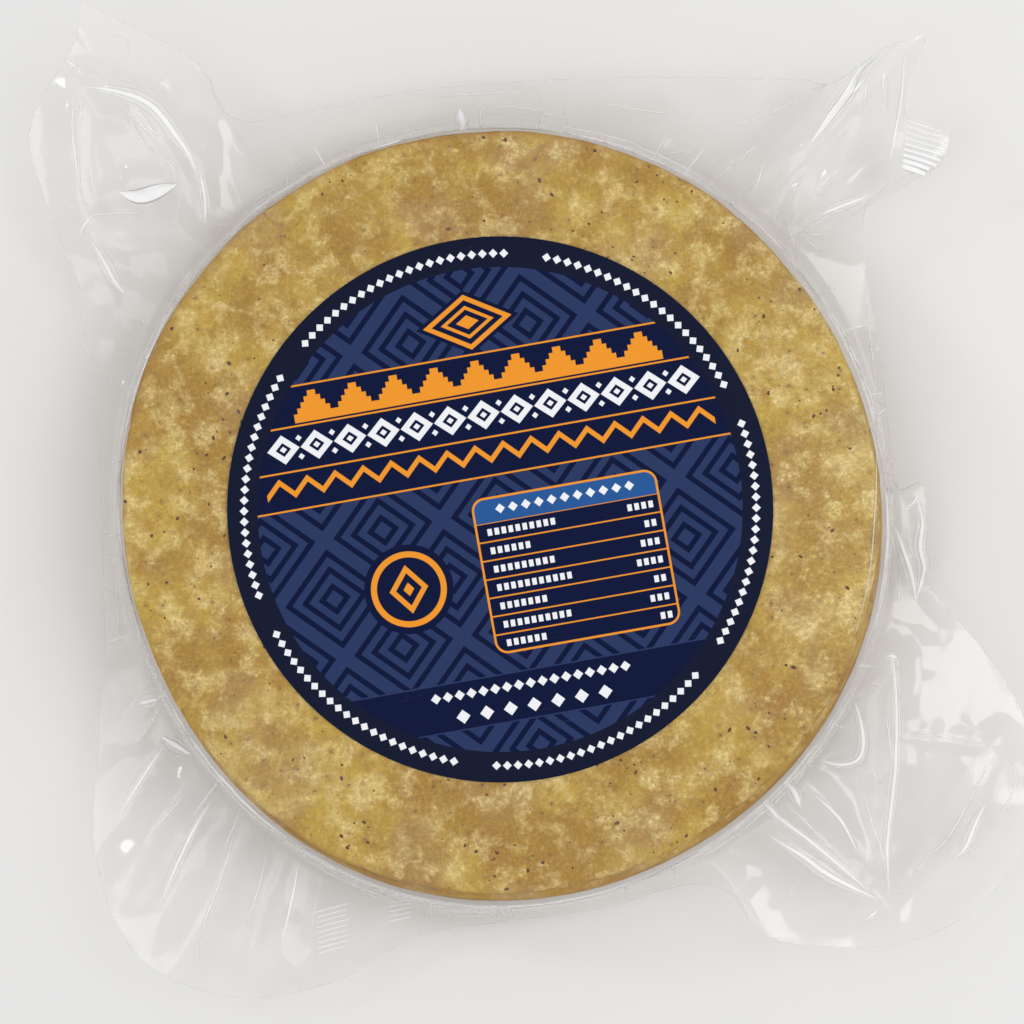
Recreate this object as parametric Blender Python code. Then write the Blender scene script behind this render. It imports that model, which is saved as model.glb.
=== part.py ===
"""A clear vacuum pack of corn tortillas, lying flat, with a round label stuck on its top.

The pack is one solid: the round stack that the film is drawn tight over, and the thin wavy
border where the upper and lower film meet, with an ear at each corner of the pouch.
X is to the right and Y to the back as the pack lies, and Z is up from its flat underside.
"""

import math

import bpy
import numpy as np

MM = 0.001

# The stack.
TORTILLA_RADIUS = 70.4 * MM
TORTILLA_THICKNESS = 2.0 * MM
TORTILLA_COUNT = 12
FILM_SKIN = 0.2 * MM
PACK_HEIGHT = TORTILLA_COUNT * TORTILLA_THICKNESS + 2 * FILM_SKIN
WALL_RADIUS = TORTILLA_RADIUS + FILM_SKIN
# Lobes around the stack, their share of the radius, and the angle of the first one in degrees.
WALL_LOBES = ((2, 0.0057, 110.0), (3, 0.0036, 13.5), (4, 0.0033, 67.5))
SHOULDER = 1.2 * MM
SHOULDER_STEPS = 3

# The border of film.
SEAM_HEIGHT = 9.5 * MM
BORDER_THICKNESS = 0.8 * MM
SKIRT_REACH = 5.0 * MM
SKIRT_SHARE = 0.8
SKIRT_POWER = 2.2
BORDER_STEPS = 15
BORDER_CROWDING = 1.4
RIM_STATIONS = 156
LEAST_CLEARANCE = 0.6 * MM

# The label.
LABEL_RADIUS = 50.0 * MM
LABEL_THICKNESS = 0.4 * MM
LABEL_CENTRE = (-0.4 * MM, 0.9 * MM)
LABEL_GAP = 0.3 * MM
LABEL_SIDES = 96

# The rim of the pouch, clockwise from above: X, Y and height in millimetres. Each stretch starts
# at a foot, where the rim lies beside the stack. An ear stands out from its two feet, and a side
# is drawn in between two ears.
RIM_STRETCHES = (
    ("right_side", ((68.0, 53.6, 8.5), (69.0, 44.0, 7.0), (71.4, 31.0, 6.5), (73.2, 16.0, 6.5))),
    ("right_tab", ((74.8, 5.0, 7.0), (79.4, 5.4, 8.5), (80.0, -8.5, 8.0))),
    (
        "front_right_ear",
        (
            (81.5, -14.5, 6.0), (90.6, -24.7, 5.0), (98.0, -36.5, 5.0), (102.2, -48.0, 6.0),
            (99.8, -61.0, 6.5), (90.0, -74.5, 6.0), (75.0, -81.3, 7.0), (57.5, -81.2, 9.0),
            (48.5, -78.4, 10.0), (42.8, -71.4, 8.5),
        ),
    ),
    ("front_side", ((34.5, -70.2, 7.0), (18.4, -74.6, 6.5), (3.3, -76.9, 6.0), (-12.8, -79.2, 5.5))),
    (
        "front_left_ear",
        (
            (-20.5, -82.4, 5.0), (-31.1, -88.4, 5.0), (-47.6, -91.6, 6.5), (-63.7, -87.2, 8.5),
            (-72.6, -78.0, 8.0), (-77.4, -62.0, 6.5),
        ),
    ),
    ("left_side", ((-76.6, -44.0, 6.0), (-75.6, -28.0, 6.0), (-75.9, -6.0, 6.0), (-76.6, 14.0, 6.0))),
    (
        "back_left_ear",
        (
            (-79.4, 34.0, 6.5), (-84.0, 49.0, 7.5), (-88.6, 62.0, 9.0), (-89.0, 75.0, 10.0),
            (-85.2, 86.0, 12.0), (-80.9, 96.0, 15.0), (-70.3, 93.2, 14.0), (-59.0, 85.7, 11.0),
            (-53.2, 77.6, 8.5),
        ),
    ),
    ("back_side", ((-45.5, 74.6, 7.0), (-31.0, 77.4, 6.5), (-11.8, 81.0, 6.0), (22.0, 82.8, 6.0))),
    (
        "back_right_ear",
        (
            (53.5, 82.3, 8.0), (66.4, 84.2, 13.0), (74.0, 89.3, 18.0), (80.4, 90.8, 19.0),
            (77.6, 82.0, 17.0), (77.4, 75.6, 15.0), (84.6, 72.2, 14.0), (83.0, 65.6, 12.0),
            (71.0, 60.4, 9.0),
        ),
    ),
)

# Folds that cross the border: their two ends, height at each end and half width, in millimetres.
# A negative height is a valley.
FOLDS = (
    ("back_right_ridge", (57.0, 57.5), (74.5, 88.0), 1.5, 4.0, 8.0),
    ("back_right_valley", (52.0, 57.5), (62.0, 73.0), -2.0, -2.0, 6.0),
    ("back_right_lower_ridge", (60.5, 56.5), (80.0, 66.0), 1.5, 2.0, 6.0),
    ("back_left_inner_ridge", (-55.8, 56.0), (-58.5, 69.0), 3.0, 3.5, 7.0),
    ("back_left_upper_ridge", (-58.5, 69.0), (-76.0, 80.0), 3.5, 2.5, 7.0),
    ("back_left_outer_ridge", (-80.5, 78.0), (-79.5, 57.0), 2.5, 2.5, 7.0),
    ("back_left_lower_ridge", (-79.0, 55.5), (-62.0, 50.0), 2.5, 1.5, 7.0),
    ("front_right_outer_ridge", (73.4, -27.5), (73.6, -70.0), 3.0, 1.5, 7.0),
    ("front_right_middle_ridge", (56.0, -50.5), (71.0, -70.5), 3.0, 1.5, 7.0),
    ("front_right_inner_ridge", (49.5, -57.0), (70.0, -72.0), 3.0, 1.5, 7.0),
    ("front_right_seal_valley", (75.5, -71.0), (94.5, -44.0), -1.5, -2.0, 7.0),
    ("front_left_ridge", (-47.0, -57.0), (-61.0, -85.0), 2.5, 2.5, 7.5),
    ("front_left_outer_ridge", (-57.5, -47.5), (-72.0, -70.0), 2.5, 2.0, 7.5),
    ("front_left_inner_ridge", (-33.0, -66.5), (-36.0, -86.0), 2.0, 1.5, 7.0),
)

# The pocket of film that puffs up in the back left ear, in millimetres.
POCKET_CENTRE = (-68.5, 66.0)
POCKET_RADII = (11.5, 13.5)
POCKET_RISE = 2.6


def clear_scene():
    """Empties the scene and returns a new collection for the pack."""
    for obj in list(bpy.data.objects):
        bpy.data.objects.remove(obj, do_unlink=True)
    pack = bpy.data.collections.new("tortilla_pack")
    bpy.context.scene.collection.children.link(pack)
    return pack


def surface(name, colour, roughness, alpha=1.0):
    """A plain plastic, paper or food finish."""
    material = bpy.data.materials.new(name)
    material.use_nodes = True
    shader = material.node_tree.nodes["Principled BSDF"]
    shader.inputs["Base Color"].default_value = (*colour, 1.0)
    shader.inputs["Roughness"].default_value = roughness
    shader.inputs["Metallic"].default_value = 0.0
    shader.inputs["Alpha"].default_value = alpha
    material.diffuse_color = (*colour, alpha)
    return material


def wall_radius(angles):
    """Radius of the stack at these angles: a circle with the few low lobes of a real tortilla."""
    lobes = sum(
        share * np.cos(count * (angles - math.radians(first))) for count, share, first in WALL_LOBES
    )
    return WALL_RADIUS * (1.0 + lobes)


def smooth_loop(corners, per_stretch=24):
    """A closed smooth curve through the corners, as rows of X, Y and Z, and each corner's row number."""
    count = len(corners)
    steps = np.arange(per_stretch) / per_stretch
    square = steps**2
    cube = steps**3
    rows = []
    for i in range(count):
        before, here, after, beyond = (corners[(i + k) % count] for k in (-1, 0, 1, 2))
        leave = (after - before) / 2
        arrive = (beyond - here) / 2
        rows.append(
            np.outer(2 * cube - 3 * square + 1, here)
            + np.outer(cube - 2 * square + steps, leave)
            + np.outer(3 * square - 2 * cube, after)
            + np.outer(cube - square, arrive)
        )
    return np.vstack(rows), np.arange(count) * per_stretch


def rim_stations(count):
    """Even stations along the rim: their points, and the angle at which each meets the stack.

    Between two feet, the angle falls evenly with the length along the rim, so that the border
    fans out from the stack into each ear.
    """
    corners = np.array([point for _, points in RIM_STRETCHES for point in points]) * MM
    feet = np.cumsum([0] + [len(points) for _, points in RIM_STRETCHES[:-1]])
    curve, corner_rows = smooth_loop(corners)
    closed = np.vstack([curve, curve[:1]])
    length = np.concatenate([[0.0], np.cumsum(np.linalg.norm(np.diff(closed, axis=0), axis=1))])
    foot_lengths = length[corner_rows[feet]]
    foot_angles = np.unwrap(np.arctan2(corners[feet, 1], corners[feet, 0]))
    even = np.arange(count) / count * length[-1]
    points = np.stack([np.interp(even, length, closed[:, k]) for k in range(3)], axis=1)
    angles = np.interp(
        even,
        np.append(foot_lengths, length[-1]),
        np.append(foot_angles, foot_angles[0] - 2 * math.pi),
    )
    return points, angles


def fold_rise(x, y):
    """Rise of the border at X and Y, from its folds and its pocket."""
    ridge = np.zeros_like(x)
    valley = np.zeros_like(x)
    for _, start, end, first, last, half_width in FOLDS:
        start, end = np.array(start) * MM, np.array(end) * MM
        along = end - start
        share = ((x - start[0]) * along[0] + (y - start[1]) * along[1]) / (along @ along)
        share = np.clip(share, 0.0, 1.0)
        away = np.hypot(x - start[0] - share * along[0], y - start[1] - share * along[1])
        crest = np.clip(1.0 - (away / (half_width * MM)) ** 2, 0.0, 1.0) ** 2
        fold = crest * (first + (last - first) * share) * MM
        ridge = np.maximum(ridge, fold)
        valley = np.minimum(valley, fold)
    pocket_x = (x / MM - POCKET_CENTRE[0]) / POCKET_RADII[0]
    pocket_y = (y / MM - POCKET_CENTRE[1]) / POCKET_RADII[1]
    pocket = POCKET_RISE * MM * np.clip(1.0 - (pocket_x**2 + pocket_y**2) ** 2, 0.0, 1.0)
    return np.maximum(ridge, pocket) + valley


def ring(radius, angles, height):
    """A closed row of points round the stack."""
    return np.stack(
        [radius * np.cos(angles), radius * np.sin(angles), np.full_like(angles, height)], axis=1
    )


def pack_rings():
    """The pack's rows of points, from the edge of its top, over the border and rim, to its underside."""
    rim, angles = rim_stations(RIM_STATIONS)
    wall = wall_radius(angles)
    foot = np.stack([wall * np.cos(angles), wall * np.sin(angles)], axis=1)
    reach = np.linalg.norm(rim[:, :2] - foot, axis=1)
    skirt = np.minimum(SKIRT_REACH, SKIRT_SHARE * reach)

    turns = np.linspace(0.0, math.pi / 2, SHOULDER_STEPS)
    top = [
        ring(wall - SHOULDER * (1 - math.sin(turn)), angles, PACK_HEIGHT - SHOULDER * (1 - math.cos(turn)))
        for turn in turns
    ]
    underside = [
        ring(wall - SHOULDER * (1 - math.sin(turn)), angles, SHOULDER * (1 - math.cos(turn)))
        for turn in reversed(turns)
    ]

    upper, lower = [], []
    for step in range(1, BORDER_STEPS + 1):
        share = (step / BORDER_STEPS) ** BORDER_CROWDING
        place = foot + share * (rim[:, :2] - foot)
        settle = 1.0 - np.clip(1.0 - share * reach / skirt, 0.0, 1.0) ** SKIRT_POWER
        middle = SEAM_HEIGHT + (rim[:, 2] - SEAM_HEIGHT) * share + fold_rise(place[:, 0], place[:, 1]) * settle
        middle = np.maximum(middle, LEAST_CLEARANCE + BORDER_THICKNESS / 2)
        above = (middle + BORDER_THICKNESS / 2) * settle + (PACK_HEIGHT - SHOULDER) * (1 - settle)
        below = (middle - BORDER_THICKNESS / 2) * settle + SHOULDER * (1 - settle)
        upper.append(np.column_stack([place, above]))
        lower.append(np.column_stack([place, below]))
    return top + upper + lower[::-1] + underside


def loft(name, rings, finish, collection):
    """A closed solid through the rings, with a flat cap on the first and on the last.

    The rows above and below the rim are split along the same diagonals, so that the thin border
    keeps its thickness.
    """
    count = len(rings[0])
    bands = len(rings) - 1
    faces = []
    for band in range(bands):
        for i in range(count):
            j = (i + 1) % count
            a, b = band * count + i, band * count + j
            c, d = a + count, b + count
            split_first = band < bands / 2
            faces += [(a, b, d), (a, d, c)] if split_first else [(a, b, c), (b, d, c)]
    last = bands * count
    faces.append(tuple(range(count))[::-1])
    faces.append(tuple(range(last, last + count)))
    mesh = bpy.data.meshes.new(name)
    mesh.from_pydata(np.vstack(rings).tolist(), [], faces)
    mesh.validate()
    mesh.materials.append(finish)
    obj = bpy.data.objects.new(name, mesh)
    collection.objects.link(obj)
    return obj


def make_pack(collection):
    """The tight film with the stack inside, as one solid."""
    finish = surface("film_over_tortillas", (0.50, 0.33, 0.12), 0.35)
    pack = loft("vacuum_pack", pack_rings(), finish, collection)
    pack.data.shade_smooth()
    pack.data.set_sharp_from_angle(angle=math.radians(35))
    return pack


def make_label(collection):
    """The round label, lying on the pack's flat top."""
    bpy.ops.mesh.primitive_cylinder_add(
        vertices=LABEL_SIDES,
        radius=LABEL_RADIUS,
        depth=LABEL_THICKNESS,
        location=(*LABEL_CENTRE, PACK_HEIGHT + LABEL_GAP + LABEL_THICKNESS / 2),
    )
    label = bpy.context.active_object
    label.name = label.data.name = "label"
    label.data.materials.append(surface("printed_label", (0.010, 0.014, 0.045), 0.45))
    label.data.shade_smooth()
    label.data.set_sharp_from_angle(angle=math.radians(35))
    for holder in list(label.users_collection):
        holder.objects.unlink(label)
    collection.objects.link(label)
    return label


def main():
    """Builds the pack and its label."""
    collection = clear_scene()
    make_pack(collection)
    make_label(collection)


main()
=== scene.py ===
"""The looks of a clear vacuum pack of corn tortillas with a round dark blue label on top.

The pouch is an upper and a lower sheet of clear film, drawn over twelve tortillas. Its border and
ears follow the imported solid, with the film's sharp creases added and pinched lines laid on them.
Lengths are in metres, and MM turns millimetres into metres.
"""

import math

import bpy
import numpy as np
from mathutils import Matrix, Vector
from mathutils.bvhtree import BVHTree


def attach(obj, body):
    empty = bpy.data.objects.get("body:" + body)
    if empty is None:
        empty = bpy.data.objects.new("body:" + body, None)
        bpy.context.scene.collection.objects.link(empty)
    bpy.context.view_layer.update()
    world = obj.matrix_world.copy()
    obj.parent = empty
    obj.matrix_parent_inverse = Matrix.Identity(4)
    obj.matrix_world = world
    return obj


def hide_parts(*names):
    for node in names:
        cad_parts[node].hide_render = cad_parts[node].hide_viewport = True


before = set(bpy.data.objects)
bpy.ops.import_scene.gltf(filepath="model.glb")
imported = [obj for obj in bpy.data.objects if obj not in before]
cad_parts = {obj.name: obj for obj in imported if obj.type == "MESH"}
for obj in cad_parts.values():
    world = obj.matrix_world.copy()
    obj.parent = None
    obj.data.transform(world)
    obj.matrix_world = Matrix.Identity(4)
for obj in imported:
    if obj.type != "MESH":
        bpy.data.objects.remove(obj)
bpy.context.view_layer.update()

MM = 0.001

# The stack and its wall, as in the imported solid.
TORTILLA_RADIUS = 70.4 * MM
TORTILLA_THICKNESS = 2.0 * MM
TORTILLA_COUNT = 12
FILM_SKIN = 0.2 * MM
PACK_HEIGHT = TORTILLA_COUNT * TORTILLA_THICKNESS + 2 * FILM_SKIN
WALL_RADIUS = TORTILLA_RADIUS + FILM_SKIN
WALL_LOBES = ((2, 0.0057, 110.0), (3, 0.0036, 13.5), (4, 0.0033, 67.5))
SHOULDER = 1.2 * MM
# The top tortilla lies a little to the back left, and those under it to the front.
TOP_SHIFT = 0.75 * MM
TOP_HEADING = math.radians(138.0)
LOWER_SHIFT = 0.95 * MM
LOWER_HEADING = math.radians(284.0)
BULGE_POWER = 1.5

# The tortillas: how far each strays and its gap to the film's wall, in millimetres, and its shape.
TORTILLA_SEED = 4
SEED_STEP = 3.7
MOST_STRAY = 0.30
EDGE_GAPS = (0.20, 0.45)
TOP_EDGE_GAP = 0.75 * MM
LAYER_GAP = 0.04 * MM
TORTILLA_RIM = 0.9 * MM
TOP_RELIEF = 0.16 * MM
TOP_RIPPLE = 1.1 * MM
LOWER_RIPPLE = 0.6 * MM
TOP_SIDES, TOP_RINGS = 420, 90
LOWER_SIDES, LOWER_RINGS = 256, 14
LUMP_SIZE = 3.2 * MM
LUMP_MIDDLE = 0.62
# The share of the rings inside the soft rim, and how far the rim turns over.
FLAT_RINGS = 0.9
RIM_TURN = 0.86

# The toasted flecks on the top tortilla.
FLECK_DENSITY = 120000.0
FLECK_SIZES = (0.08 * MM, 0.33 * MM)
FLECK_HEIGHT = 0.05 * MM
FLECK_SEED = 3
FLECK_DRAW_SEEDS = (5, 9, 2)
CLUSTER_SIZE = 7.0 * MM

# The border of the pouch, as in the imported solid.
SEAM_HEIGHT = 9.5 * MM
SKIRT_REACH = 5.0 * MM
SKIRT_SHARE = 0.8
SKIRT_POWER = 2.2
BORDER_CROWDING = 1.2
LEAST_HEIGHT = 0.8 * MM
SLACK_REACH = 18.0 * MM

# The film's mesh.
RIM_STATIONS = 1120
UPPER_STEPS = 70
LOWER_STEPS = 30
TOP_SHARES = (0.35, 0.70, 0.76, 0.82, 0.87, 0.91, 0.94, 0.965, 0.985)
TOP_SAG = 0.06 * MM
TOP_WANDER = 0.05 * MM
TOP_FILM_GAP = 0.35 * MM
EDGE_CLEARANCE = 0.1 * MM
SHOULDER_STEPS = 4
UNDERSIDE_SHARE = 0.6
RIM_FADE_POWER = 6
SHEET_GAP = 0.12 * MM
BROAD_SHARE = 0.6

# The rim of the pouch, clockwise from above: X, Y and height in millimetres, and for a sharp
# corner how much of a smooth corner's ease it keeps.
RIM_STRETCHES = (
    ("right_side", ((68.0, 53.6, 8.5), (69.0, 44.0, 7.0), (71.4, 31.0, 6.5), (73.2, 16.0, 6.5))),
    ("right_tab", ((74.8, 5.0, 7.0), (79.4, 5.4, 8.5), (80.0, -8.5, 8.0))),
    (
        "front_right_ear",
        (
            (81.5, -14.5, 6.0), (90.6, -24.7, 5.0), (98.0, -36.5, 5.0), (102.2, -48.0, 6.0),
            (99.8, -61.0, 6.5), (90.0, -74.5, 6.0), (75.0, -81.3, 7.0), (57.5, -81.2, 9.0),
            (48.5, -78.4, 10.0), (42.8, -71.4, 8.5),
        ),
    ),
    ("front_side", ((34.5, -70.2, 7.0), (18.4, -74.6, 6.5), (3.3, -76.9, 6.0), (-12.8, -79.2, 5.5))),
    (
        "front_left_ear",
        (
            (-20.5, -82.4, 5.0), (-31.1, -88.4, 5.0), (-47.6, -91.6, 6.5), (-63.7, -87.2, 8.5),
            (-72.6, -78.0, 8.0), (-77.4, -62.0, 6.5),
        ),
    ),
    ("left_side", ((-76.6, -44.0, 6.0), (-75.6, -28.0, 6.0), (-75.9, -6.0, 6.0), (-76.6, 14.0, 6.0))),
    (
        "back_left_ear",
        (
            (-79.4, 34.0, 6.5), (-79.9, 42.5, 6.5), (-82.9, 49.5, 7.0), (-85.0, 54.3, 7.5),
            (-87.0, 61.4, 8.5), (-89.1, 69.2, 9.5), (-88.8, 73.0, 10.0), (-86.9, 78.0, 11.0),
            (-84.6, 81.5, 11.5), (-82.0, 84.9, 12.5, 0.4), (-80.0, 88.3, 13.5), (-79.2, 91.0, 14.5),
            (-78.5, 95.5, 15.0, 0.1), (-73.3, 93.2, 14.5), (-66.7, 90.0, 13.5), (-61.2, 87.4, 12.5),
            (-57.4, 84.7, 11.5), (-55.2, 82.0, 10.5), (-54.4, 79.5, 9.5, 0.4), (-53.0, 76.5, 8.5),
        ),
    ),
    (
        "back_side",
        ((-50.2, 74.7, 8.0), (-45.6, 74.6, 7.0), (-31.0, 77.4, 6.5), (-11.8, 81.0, 6.0), (22.0, 82.8, 6.0)),
    ),
    (
        "back_right_ear",
        (
            (51.6, 82.5, 6.5), (57.4, 82.1, 7.5, 0.3), (61.0, 81.1, 9.0), (64.3, 82.3, 11.0),
            (70.2, 86.2, 15.0), (73.3, 87.6, 17.0), (78.3, 88.7, 18.0, 0.2), (78.1, 86.6, 17.0),
            (75.7, 81.6, 16.0), (75.0, 76.9, 15.0), (75.4, 74.2, 14.0, 0.2), (83.5, 71.3, 13.5, 0.1),
            (83.0, 68.0, 13.0), (81.6, 65.1, 12.0, 0.2), (76.0, 63.7, 11.0), (72.0, 61.6, 10.0),
            (68.6, 58.6, 9.5, 0.3),
        ),
    ),
)

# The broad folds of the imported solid: two ends, height at each end and half width, in millimetres.
BROAD_FOLDS = (
    ("back_right_ridge", (57.0, 57.5), (74.5, 88.0), 1.5, 4.0, 8.0),
    ("back_right_valley", (52.0, 57.5), (62.0, 73.0), -2.0, -2.0, 6.0),
    ("back_right_lower_ridge", (60.5, 56.5), (80.0, 66.0), 1.5, 2.0, 6.0),
    ("back_left_inner_ridge", (-55.8, 56.0), (-58.5, 69.0), 3.0, 3.5, 7.0),
    ("back_left_upper_ridge", (-58.5, 69.0), (-76.0, 80.0), 3.5, 2.5, 7.0),
    ("back_left_outer_ridge", (-80.5, 78.0), (-79.5, 57.0), 2.5, 2.5, 7.0),
    ("back_left_lower_ridge", (-79.0, 55.5), (-62.0, 50.0), 2.5, 1.5, 7.0),
    ("front_right_outer_ridge", (73.4, -27.5), (73.6, -70.0), 3.0, 1.5, 7.0),
    ("front_right_middle_ridge", (56.0, -50.5), (71.0, -70.5), 3.0, 1.5, 7.0),
    ("front_right_inner_ridge", (49.5, -57.0), (70.0, -72.0), 3.0, 1.5, 7.0),
    ("front_right_seal_valley", (75.5, -71.0), (94.5, -44.0), -1.5, -2.0, 7.0),
    ("front_left_ridge", (-47.0, -57.0), (-61.0, -85.0), 2.5, 2.5, 7.5),
    ("front_left_outer_ridge", (-57.5, -47.5), (-72.0, -70.0), 2.5, 2.0, 7.5),
    ("front_left_inner_ridge", (-33.0, -66.5), (-36.0, -86.0), 2.0, 1.5, 7.0),
)
POCKET_CENTRE = (-68.5, 66.0)
POCKET_RADII = (11.5, 13.5)
POCKET_RISE = 2.6

# The sharp creases that lie on the broad folds: height, half width and the points of each, in
# millimetres. A negative height is a valley.
CREASES = (
    # Back right ear.
    (1.12, 3.0, ((53.1, 55.4), (55.6, 62.5), (57.8, 69.7), (62.1, 76.5), (67.0, 82.4), (73.7, 89.0))),
    (-0.84, 3.0, ((50.8, 55.9), (53.4, 60.2), (57.4, 66.8), (58.9, 68.7))),
    (0.49, 1.2, ((67.5, 81.0), (67.0, 74.0))),
    (0.42, 1.0, ((70.3, 81.3), (70.0, 78.1))),
    (0.49, 1.2, ((71.3, 81.0), (71.4, 74.0))),
    (0.84, 2.5, ((74.6, 84.3), (73.7, 74.0), (72.4, 72.4), (72.0, 65.6))),
    (-0.70, 2.2, ((78.6, 87.6), (75.6, 77.5))),
    (0.70, 1.6, ((62.0, 56.1), (68.0, 59.7))),
    (0.49, 1.2, ((57.1, 53.1), (62.2, 52.8))),
    (0.49, 1.2, ((57.1, 52.0), (60.5, 49.6))),
    (0.56, 1.6, ((58.3, 59.8), (62.1, 63.9))),
    (0.56, 1.6, ((55.9, 54.4), (59.6, 56.2), (62.4, 58.1))),
    # Back left ear.
    (0.56, 1.2, ((-79.1, 93.1), (-78.7, 88.8))),
    (0.56, 1.8, ((-81.8, 85.2), (-79.2, 82.3), (-72.3, 81.2), (-68.1, 78.2))),
    (1.12, 3.0, ((-79.6, 79.7), (-80.7, 75.2), (-80.3, 66.0), (-79.6, 60.9), (-78.8, 56.0), (-79.2, 53.2))),
    (
        1.26,
        2.24,
        (
            (-79.1, 79.9), (-73.3, 79.2), (-68.0, 78.1), (-63.7, 74.7), (-60.7, 70.8),
            (-58.1, 66.3), (-56.0, 61.9), (-55.6, 58.2), (-56.0, 55.2),
        ),
    ),
    (0.42, 1.0, ((-69.9, 75.1), (-65.6, 70.0))),
    (0.42, 1.0, ((-68.4, 75.6), (-64.0, 70.6))),
    (0.42, 1.0, ((-65.9, 68.9), (-62.9, 65.9))),
    (1.12, 3.6, ((-71.6, 62.6), (-66.5, 62.9), (-61.5, 62.4))),
    (0.70, 1.8, ((-78.6, 55.4), (-75.4, 56.5), (-67.9, 57.3))),
    (-0.70, 2.0, ((-75.6, 52.7), (-64.1, 52.3), (-58.4, 50.4))),
    (0.63, 1.6, ((-78.4, 53.4), (-75.6, 49.3), (-73.7, 45.9), (-71.8, 41.9))),
    # Front right ear.
    (
        1.26,
        2.38,
        ((73.1, -27.2), (73.5, -32.1), (73.1, -44.4), (72.7, -52.5), (71.8, -62.4), (73.2, -72.4)),
    ),
    (0.56, 1.4, ((65.8, -35.3), (72.7, -29.3))),
    (
        0.70,
        1.26,
        ((59.9, -46.4), (63.3, -47.0), (66.5, -46.1), (67.6, -43.6), (67.3, -39.5), (66.5, -37.0)),
    ),
    (0.63, 2.2, ((68.0, -47.7), (69.1, -54.3), (70.8, -60.9), (71.9, -66.9), (73.2, -72.4))),
    (0.98, 2.6, ((54.8, -49.4), (60.0, -52.6), (63.4, -58.0), (66.6, -62.9))),
    (0.98, 2.6, ((49.5, -54.6), (56.8, -60.9), (63.4, -66.1), (68.3, -70.7), (71.2, -72.7))),
    (1.05, 2.6, ((50.8, -60.9), (55.7, -64.1), (61.7, -67.5), (66.6, -71.0), (70.4, -72.6))),
    (0.63, 1.3, ((52.6, -50.0), (56.0, -55.1))),
    (0.77, 2.0, ((73.9, -72.8), (78.4, -68.1), (84.5, -59.4), (91.1, -47.8), (94.9, -44.2))),
    (0.77, 2.0, ((84.5, -65.3), (88.6, -61.5), (91.9, -54.8), (94.3, -46.7))),
    (0.56, 1.4, ((94.9, -44.2), (98.1, -50.3))),
    (0.49, 1.4, ((76.3, -42.2), (90.7, -44.2))),
    (0.63, 1.8, ((70.5, -75.0), (66.8, -77.4))),
    # Right tab.
    (0.84, 2.0, ((73.6, -2.4), (74.7, -4.8), (77.0, -11.1), (78.1, -16.0))),
    (0.70, 1.6, ((78.1, 3.1), (79.1, -1.6), (78.5, -6.2), (79.4, -10.5), (78.1, -16.0))),
    # Front left ear.
    (0.98, 3.0, ((-47.0, -57.5), (-54.0, -70.0), (-61.0, -85.0))),
    (0.91, 2.8, ((-57.5, -47.5), (-66.0, -58.5), (-72.0, -70.0))),
    (0.77, 2.4, ((-33.0, -66.5), (-35.5, -77.0), (-36.0, -86.0))),
    (0.63, 1.6, ((-52.0, -53.5), (-60.5, -62.0), (-68.5, -76.0))),
    (0.56, 1.4, ((-40.0, -62.5), (-44.5, -74.0), (-47.0, -84.0))),
)
CREST_SOFTNESS = 0.16
CREASE_FADE = 0.14
CREASE_END_SHARE = 0.25
LOWER_CREASE_SHARE = 0.45
WALL_CREASE_SHARE = 0.5

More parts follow.
